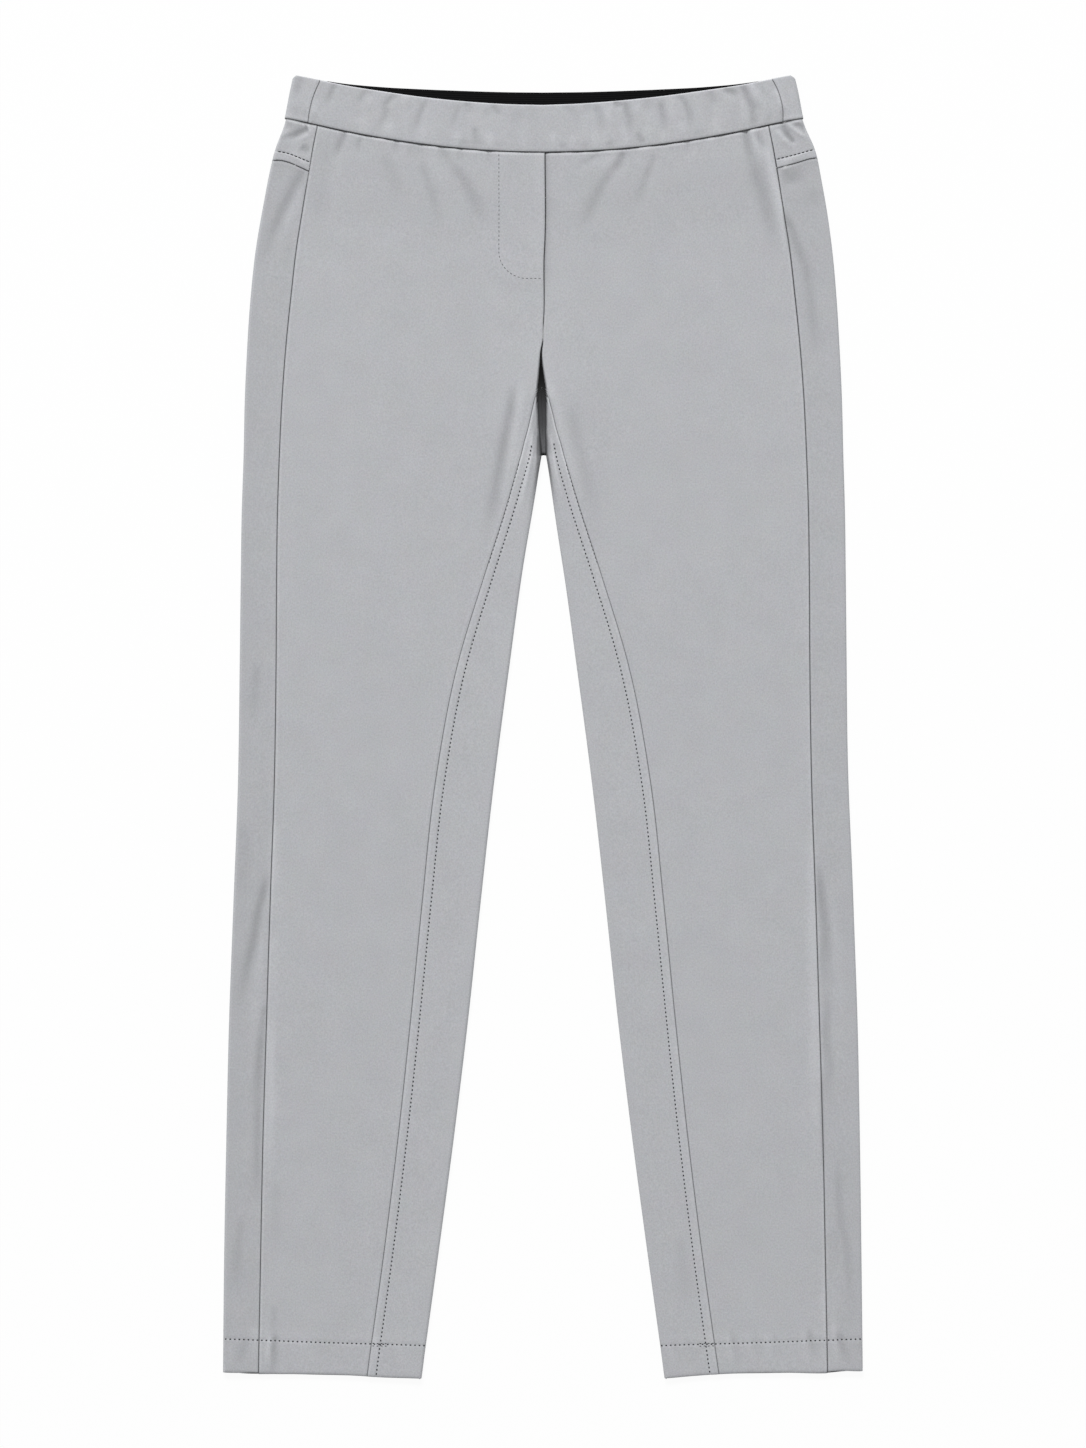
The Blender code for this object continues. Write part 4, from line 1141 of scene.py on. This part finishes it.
# Where the seam below the band bites deeper: x, half width, depth.
NOTCHES = ((-60, 4.0, -0.45), (-52, 2.0, -0.3), (-33, 4.0, -0.25), (15.7, 2.4, -0.4), (32, 3.0, -0.35),
           (51, 2.6, -0.6), (75, 2.4, -0.3), (118, 3.6, -0.4), (161, 2.0, -0.5), (-187, 1.8, -0.4),
           (-180.6, 1.8, -0.5), (-173, 1.8, -0.4), (172, 1.8, -0.4), (182, 3.0, -0.5))
for x, half_width, depth in NOTCHES:
    seam_height = 930.0 + abs(x) ** 2 / 1300
    FRONT_GATHERS += creases((half_width, depth, (x, seam_height + 8), (x, seam_height - 8)))
BACK_GATHERS = creases(*(
    (half_width, depth, (x - 1.5 * slant, 994), (x + 1.5 * slant, 924)) for x, slant, half_width, depth in (
        (-150, 2, 6, -0.3), (-112, -2, 6, -0.35), (-70, 2, 5, -0.3), (-34, -1, 6, -0.35), (6, 2, 5, -0.3),
        (44, 1, 6, -0.35), (82, -2, 5, -0.3), (120, 2, 6, -0.35), (156, 1, 5, -0.3))))
print(len(FRONT_GATHERS), "gathers in front")


# %% Bands
def band_profile(wall):
    """Rows of a folded band: share of its depth, rise above that, and how far through the band."""
    radius = wall / 2
    outer = [(share, 0, 0) for share in spread(0.0, 1.0, [n / 35 for n in NEAR_SEAM], (0,), 14)]
    turn = [(1, radius * math.cos(math.radians(a)), radius * (1 - math.sin(math.radians(a))))
            for a in range(75, -76, -15)]
    inner = [(share, 0, wall) for share in np.linspace(1, 0, 11)]
    return np.array(outer + turn + inner).T[..., None]


def front_band():
    share, rise, depth = band_profile(FRONT_BAND_WALL)
    half = spread(0.0, 1.0, (0,), [n / 180 for n in NEAR_SEAM], 104)[1:]
    across = np.concatenate((-half[::-1], (0,), half))
    reach = np.where(across < 0, BAND_SEAMS[-1](share), BAND_SEAMS[1](share)) - INSEAM_GAP / 2
    x = reach * across
    low, high = waist_seam(abs(x)) + GAP / 2, band_top(abs(x)) - FRONT_BAND_WALL / 2
    height = mix(low, high + BAND_TILT * np.sin(np.pi * across), share) + rise
    up, aside = height - low + GAP / 2, reach - abs(x) + INSEAM_GAP / 2
    outside = np.maximum(1 - depth / (FRONT_BAND_WALL * 0.5), 0)
    gathers = crease_height(FRONT_GATHERS, x, height) + 0.14 * ripple(x, height / 6, 7, 12)
    rolls = seam_roll(up, 0.55) + seam_roll(aside, FLAT_ROLL, INSEAM_GAP)
    top = BAND_TOP - depth + outside * (rolls + gathers + 0.10 * ripple(x, height, 17, 11))
    # painted shade in the seams, in the hollows of the gathers and above the waist seam; painted highlight on
    # the ridges of the gathers and along the top fold
    tone = line_tone(up, 0.75, 0.5) * line_tone(aside, 0.42, 0.35) + HOLLOW_TONE * gathers
    tone *= 1 - 0.10 * bump(up, 5)
    gleam = 0.14 * (rise > 0) * bump(depth - 0.7, 0.9)
    return Block(x, height, top, mix(1, tone, outside) + gleam)


def back_band():
    share, rise, depth = band_profile(BACK_BAND_WALL)
    share_flat = share[:, 0]
    outer = mix(*BAND_EDGES, share_flat)
    last = outer - BAND_FOLD
    turn = np.radians(FOLD_TURN)[None, :]
    folded = last[:, None] + BAND_FOLD * np.cos(turn)
    under = spread(last, np.zeros(last.shape), (0,), (0,), 62)
    seams = {side: BAND_SEAMS[side](share_flat) + INSEAM_GAP / 2 for side in (-1, 1)}
    halves = {side: np.concatenate((spread(seams[side], last, NEAR_SEAM, (0,), 3), folded, under), axis=1)
              for side in (-1, 1)}
    on_top = halves[1].shape[1] - folded.shape[1] - under.shape[1]
    angle = np.concatenate((np.full((last.size, on_top), np.pi / 2), np.broadcast_to(turn, folded.shape),
                            np.full(under.shape, -np.pi / 2)), axis=1)
    half_x = np.concatenate((halves[-1], halves[1][:, -2::-1]), axis=1)
    angle = np.concatenate((angle, angle[:, -2::-1]), axis=1)
    side = np.ones(half_x.shape)
    side[:, :half_x.shape[1] // 2] = -1
    seam = np.where(side < 0, seams[-1][:, None], seams[1][:, None])
    x, up = side * half_x, (1 + np.sin(angle)) / 2
    low = mix(back_waist_seam(half_x), waist_seam(half_x), up) + GAP / 2
    corner = 2.2 * np.cos(angle) * ease(2 * share - 1)
    high = mix(back_band_top(half_x), band_top(half_x), up) - corner - BACK_BAND_WALL / 2
    height = mix(low, high, share) + rise
    outside = np.maximum(1 - depth / (BACK_BAND_WALL * 0.5), 0)
    at_seam = np.where(up > 0.99, half_x - seam + INSEAM_GAP / 2, FAR)
    at_waist = height - low + GAP / 2
    pulled = seam_roll(at_waist) + seam_roll(at_seam, FLAT_ROLL, INSEAM_GAP)
    pulled += np.where(up > 0.5, crease_height(FRONT_GATHERS, x, height),
                       crease_height(BACK_GATHERS, x, height))
    inwards = depth - outside * np.where(up < 0.5, np.minimum(pulled, 0), pulled)
    # painted shade in the seams and in the hollows of the gathers, painted highlight on their ridges
    tone = line_tone(at_waist, 0.85, 0.8) * line_tone(at_seam, 0.42, 0.35) + HOLLOW_TONE * pulled
    z = BAND_TOP * up - np.sin(angle) * inwards
    further = BAND_DRIFT * (side > 0) * ease((half_x - 184) / 8)
    return Block(x + further - side * np.cos(angle) * inwards, height, z, mix(1, tone, outside))


front_band_cloth = make_cloth("front_waistband_cloth", [front_band()], cloth, "waistband_front", hem=False,
                              wall=0.7)
back_band_cloth = make_cloth("back_waistband_cloth", [back_band()], cloth, "waistband_back", hem=False,
                             wall=0.7)

# %% [markdown]
# ## Black elastic and the fly facing
#
# Inside the back waistband lies a strip of black elastic with fine ribs along it, which shows above the
# front edge. The ribs are real ridges, because a low light runs across them. The fly is only for show:
# a facing under the wearer's right front panel, held by a J of stitching.

# %% Elastic and facing
RIB_PITCH, RIB_HEIGHT = 1.65, 0.14
ELASTIC_HALF, ELASTIC_DEPTH, ELASTIC_TOP = 164, 32.1, 3.35
FACING_TOP = 2.3


def elastic_strip():
    x = np.linspace(-ELASTIC_HALF, ELASTIC_HALF, 61)[None, :]
    down = np.concatenate(((0.0, 0.15, 0.4), np.arange(0.8, ELASTIC_DEPTH, RIB_PITCH / 6)))[::-1, None]
    top = back_band_top(abs(x)) - 0.3
    ribs = RIB_HEIGHT * np.cos(2 * np.pi * down / RIB_PITCH) - 0.25 * np.exp(-down / 0.25)
    gather = 0.15 * ripple(x, top - down, 9, 21)
    shape = (down.size, x.size)
    return Block(np.broadcast_to(x, shape), top - down, ELASTIC_TOP + ribs + gather, np.ones(shape))


def fly_facing():
    levels = FLY_BOTTOM + np.array((0.6, 1.5, 3, 5, 7, 9, 12, 15, 18, 21, 30, 39, 48, 57, 66, 75, 84, 93))
    below = np.maximum(FLY_BOTTOM + FLY_RADIUS - levels, 0)
    outer = FLY_WIDTH - 1.5 - FLY_RADIUS + np.sqrt(FLY_RADIUS ** 2 - below ** 2)
    x = mix(outer[:, None], 1.0, np.linspace(0, 1, 13))
    z = FACING_TOP + 0.08 * ripple(-x, levels[:, None], 12, 31)
    return Block(-x, np.broadcast_to(levels[:, None], x.shape), z, np.full(x.shape, 0.9))


elastic_band = make_cloth("ribbed_elastic_band", [elastic_strip()], elastic, "inner_band",
                          hem=False, wall=0.8)
facing = make_cloth("fly_facing_cloth", [fly_facing()], cloth, "mock_fly", hem=False, wall=0.7)

# %% [markdown]
# ## Stitches
#
# Topstitching is thread that comes up through the cloth, lies on it for a millimetre or two and goes
# down again. Each stitch is a small long drop, half sunk in its groove, from one low-count sphere that
# is stretched and turned along the seam.

# %% Stitching
PITCH, HEM_PITCH = 3.2, 3.45            # from one stitch to the next
DASH, SHORT_DASH = 1.6, 1.5             # how long a stitch shows
YOKE_DASH, FLY_DASH = 2.5, 1.9
THREAD, YOKE_THREAD = 1.2, 1.1          # how wide it is
FORK_THREAD, JOIN_THREAD, FLY_THREAD = 0.55, 0.6, 0.45
THREAD_RISE = 0.55          # how thick a stitch is, as a share of its width
ON_CLOTH = 0.12             # how far its middle lies above the cloth


def sew(bm, points, up=1, dash=DASH, width=THREAD, skip=0.0, pitch=PITCH):
    """Stitches along a line of (x, height, z) points, in millimetres."""
    points = np.array(points, dtype=float)
    gone = np.concatenate(([0], np.cumsum(np.linalg.norm(np.diff(points, axis=0), axis=1))))
    at = np.arange(pitch / 2 + skip, gone[-1] - dash / 2, pitch)

    def along(distance):
        return np.stack([np.interp(distance, gone, points[:, i]) for i in range(3)], axis=-1)

    for middle, way in zip(along(at), along(at + 0.6) - along(at - 0.6)):
        forward = Vector(way).normalized()
        sideways = forward.cross(Vector((0, 0, up))).normalized()
        turn = Matrix((sideways, sideways.cross(forward), forward)).transposed().to_4x4()
        size = Matrix.Diagonal((width * MM, THREAD_RISE * width * MM, dash * MM, 1))
        place = Matrix.Translation(Vector((middle[0], middle[1] - LENGTH / 2, middle[2])) * MM)
        bmesh.ops.create_uvsphere(bm, u_segments=6, v_segments=4, radius=0.5, matrix=place @ turn @ size)
    return len(at)


def on_top(x, height):
    """A line of points that lies on the front layer."""
    x, height = np.broadcast_arrays(np.asarray(x, float), np.asarray(height, float))
    level = height + lift(x, height) + drift(x, height)
    return np.stack((lean(x, height), level, cloth_top(x, height) + ON_CLOTH), axis=-1)


def beneath(x, height):
    """A line of points that lies under the back layer, just clear of the table."""
    x, height = np.broadcast_arrays(np.asarray(x, float), np.asarray(height, float))
    clear = THREAD_RISE * THREAD / 2 + 0.02
    return np.stack((x, height, np.maximum(underside(x, height), clear)), axis=-1)


def stitching(name, sew_lines):
    """One piece of thread from a function that sews lines into a bmesh."""
    bm = bmesh.new()
    count = sew_lines(bm)
    piece = link(name, bm, thread)
    print(name + ":", count, "stitches")
    return piece


def inseam_lines(side):
    def lines(bm):
        height = np.arange(2.0, 712.0, 1.0)
        aside = TOPSTITCH_ASIDE - 1.6 * ease((height - 690) / 30)
        count = sew(bm, on_top(side * (inseam(height) - aside), height))
        height = np.arange(618.0, 697.0, 1.0)
        beside = on_top(side * (inseam(height) - 0.45), height)
        return count + sew(bm, beside, dash=SHORT_DASH, width=FORK_THREAD)
    return lines


def hem_lines(side):
    def lines(bm):
        x = np.linspace(241.4, 88.8, 120)
        line = on_top(side * x, hem_line(x) + HEM_STITCH_UP)
        count = sew(bm, line, dash=SHORT_DASH, skip=-1.0, pitch=HEM_PITCH)
        crossing_x = np.linspace(118.0, 130.0, 12)
        for up in (-1.3, 0.6):
            line = on_top(side * crossing_x, hem_line(crossing_x) + HEM_STITCH_UP + up)
            count += sew(bm, line, dash=SHORT_DASH, width=JOIN_THREAD)
        return count + sew(bm, beneath(side * x, hem_line(x) + HEM_STITCH_UP), up=-1)
    return lines


def yoke_lines(side):
    def lines(bm):
        x = np.linspace(float(outseam(926)) + 1.2, float(outer_edge(931)) - 1.6, 30)
        line = on_top(side * x, front_yoke_seam(x) + YOKE_STITCH_UP)
        count = sew(bm, line, dash=YOKE_DASH, width=YOKE_THREAD)
        x = np.linspace(2.0, float(outer_edge(931)) - 2.5, 150)
        return count + sew(bm, beneath(side * x, back_yoke_seam(x) + YOKE_STITCH_UP), up=-1)
    return lines


def fly_lines(bm):
    """The J: down, round the corner, and across to the centre front."""
    turn = np.radians(np.linspace(0, 90, 24))
    x = np.concatenate((np.full(30, -FLY_WIDTH), FLY_RADIUS - FLY_WIDTH - FLY_RADIUS * np.cos(turn),
                        np.linspace(FLY_RADIUS - FLY_WIDTH, -1.2, 12)))
    height = np.concatenate((np.linspace(float(waist_seam(FLY_WIDTH)) - 1.5, FLY_BOTTOM + FLY_RADIUS, 30),
                             FLY_BOTTOM + FLY_RADIUS - FLY_RADIUS * np.sin(turn), np.full(12, FLY_BOTTOM)))
    return sew(bm, on_top(x, height), dash=FLY_DASH, width=FLY_THREAD)


stitches = {"fly": stitching("fly_stitching", fly_lines)}
for side, name in SIDES:
    stitches["inseam_" + name] = stitching("inseam_stitching_" + name, inseam_lines(side))
    stitches["hem_" + name] = stitching("hem_stitching_" + name, hem_lines(side))
    stitches["yoke_" + name] = stitching("yoke_stitching_" + name, yoke_lines(side))

# %% [markdown]


# %% [markdown]
# ## Table, light and camera
#
# Clothes are laid out on a white table and seen from straight above. A large soft lamp beyond the
# waist gives the folds their shape, and an even white surrounding fills the shadows. The table is
# partly its own light where the camera sees it, so it is white but still keeps a faint shadow.

# %% Table
GLOW = 0.93                 # how much of what is seen of the table is its own light


def white_table():
    finish = Finish("white_table", (0.92, 0.92, 0.92, 1.0), 0.9)
    path = finish.node("LightPath")
    seen_or_mirrored = finish.node("Math", operation="MAXIMUM")
    any_of_three = finish.node("Math", operation="MAXIMUM")
    share = finish.node("Math", operation="MULTIPLY")
    share.inputs[1].default_value = GLOW
    glow, blend = finish.node("Emission"), finish.node("MixShader")
    glow.inputs["Color"].default_value = (1, 1, 1, 1)
    finish.wire(path.outputs["Is Camera Ray"], seen_or_mirrored.inputs[0])
    finish.wire(path.outputs["Is Glossy Ray"], seen_or_mirrored.inputs[1])
    finish.wire(seen_or_mirrored.outputs[0], any_of_three.inputs[0])
    finish.wire(path.outputs["Is Transmission Ray"], any_of_three.inputs[1])
    finish.wire(any_of_three.outputs[0], share.inputs[0])
    finish.wire(share.outputs[0], blend.inputs["Fac"])
    finish.wire(finish.shader.outputs["BSDF"], blend.inputs[1])
    finish.wire(glow.outputs["Emission"], blend.inputs[2])
    finish.wire(blend.outputs["Shader"], finish.tree.nodes["Material Output"].inputs["Surface"])
    return finish.material


bm = bmesh.new()
bmesh.ops.create_grid(bm, x_segments=1, y_segments=1, size=6.0)
table_mesh = bpy.data.meshes.new("table")
bm.to_mesh(table_mesh)
bm.free()
table_mesh.materials.append(white_table())
table = bpy.data.objects.new("table", table_mesh)
bpy.context.collection.objects.link(table)

# %% Light
world = bpy.data.worlds.new("Studio")
world.use_nodes = True
world.node_tree.nodes["Background"].inputs["Color"].default_value = (1, 1, 1, 1)
world.node_tree.nodes["Background"].inputs["Strength"].default_value = 0.50
bpy.context.scene.world = world


def lamp(name, place, aim, size, power):
    data = bpy.data.lights.new(name, "AREA")
    data.shape = "RECTANGLE"
    data.size, data.size_y = size
    data.energy = power
    made = bpy.data.objects.new(name, data)
    made.location = place
    made.rotation_euler = (Vector(aim) - Vector(place)).to_track_quat("-Z", "Y").to_euler()
    bpy.context.collection.objects.link(made)


lamp("Soft lamp beyond the waist", place=(-2.0, 9.3, 6.4), aim=(0, 0, 0), size=(5.2, 2.45), power=1115.0)

# %% Camera
LENS = 85.0
SENSOR = 36.0
VIEW_HEIGHT = 1.1005        # how much of the table's length the picture takes in
camera_data = bpy.data.cameras.new("Camera")
camera_data.lens = LENS
camera_data.sensor_width = SENSOR
camera = bpy.data.objects.new("Camera", camera_data)
camera.location = (0.0, 0.0018, 0.004 + VIEW_HEIGHT * LENS / SENSOR)
bpy.context.collection.objects.link(camera)
bpy.context.scene.camera = camera
bpy.context.scene.view_settings.view_transform = "Standard"
print("camera height:", round(camera.location.z, 3), "m")
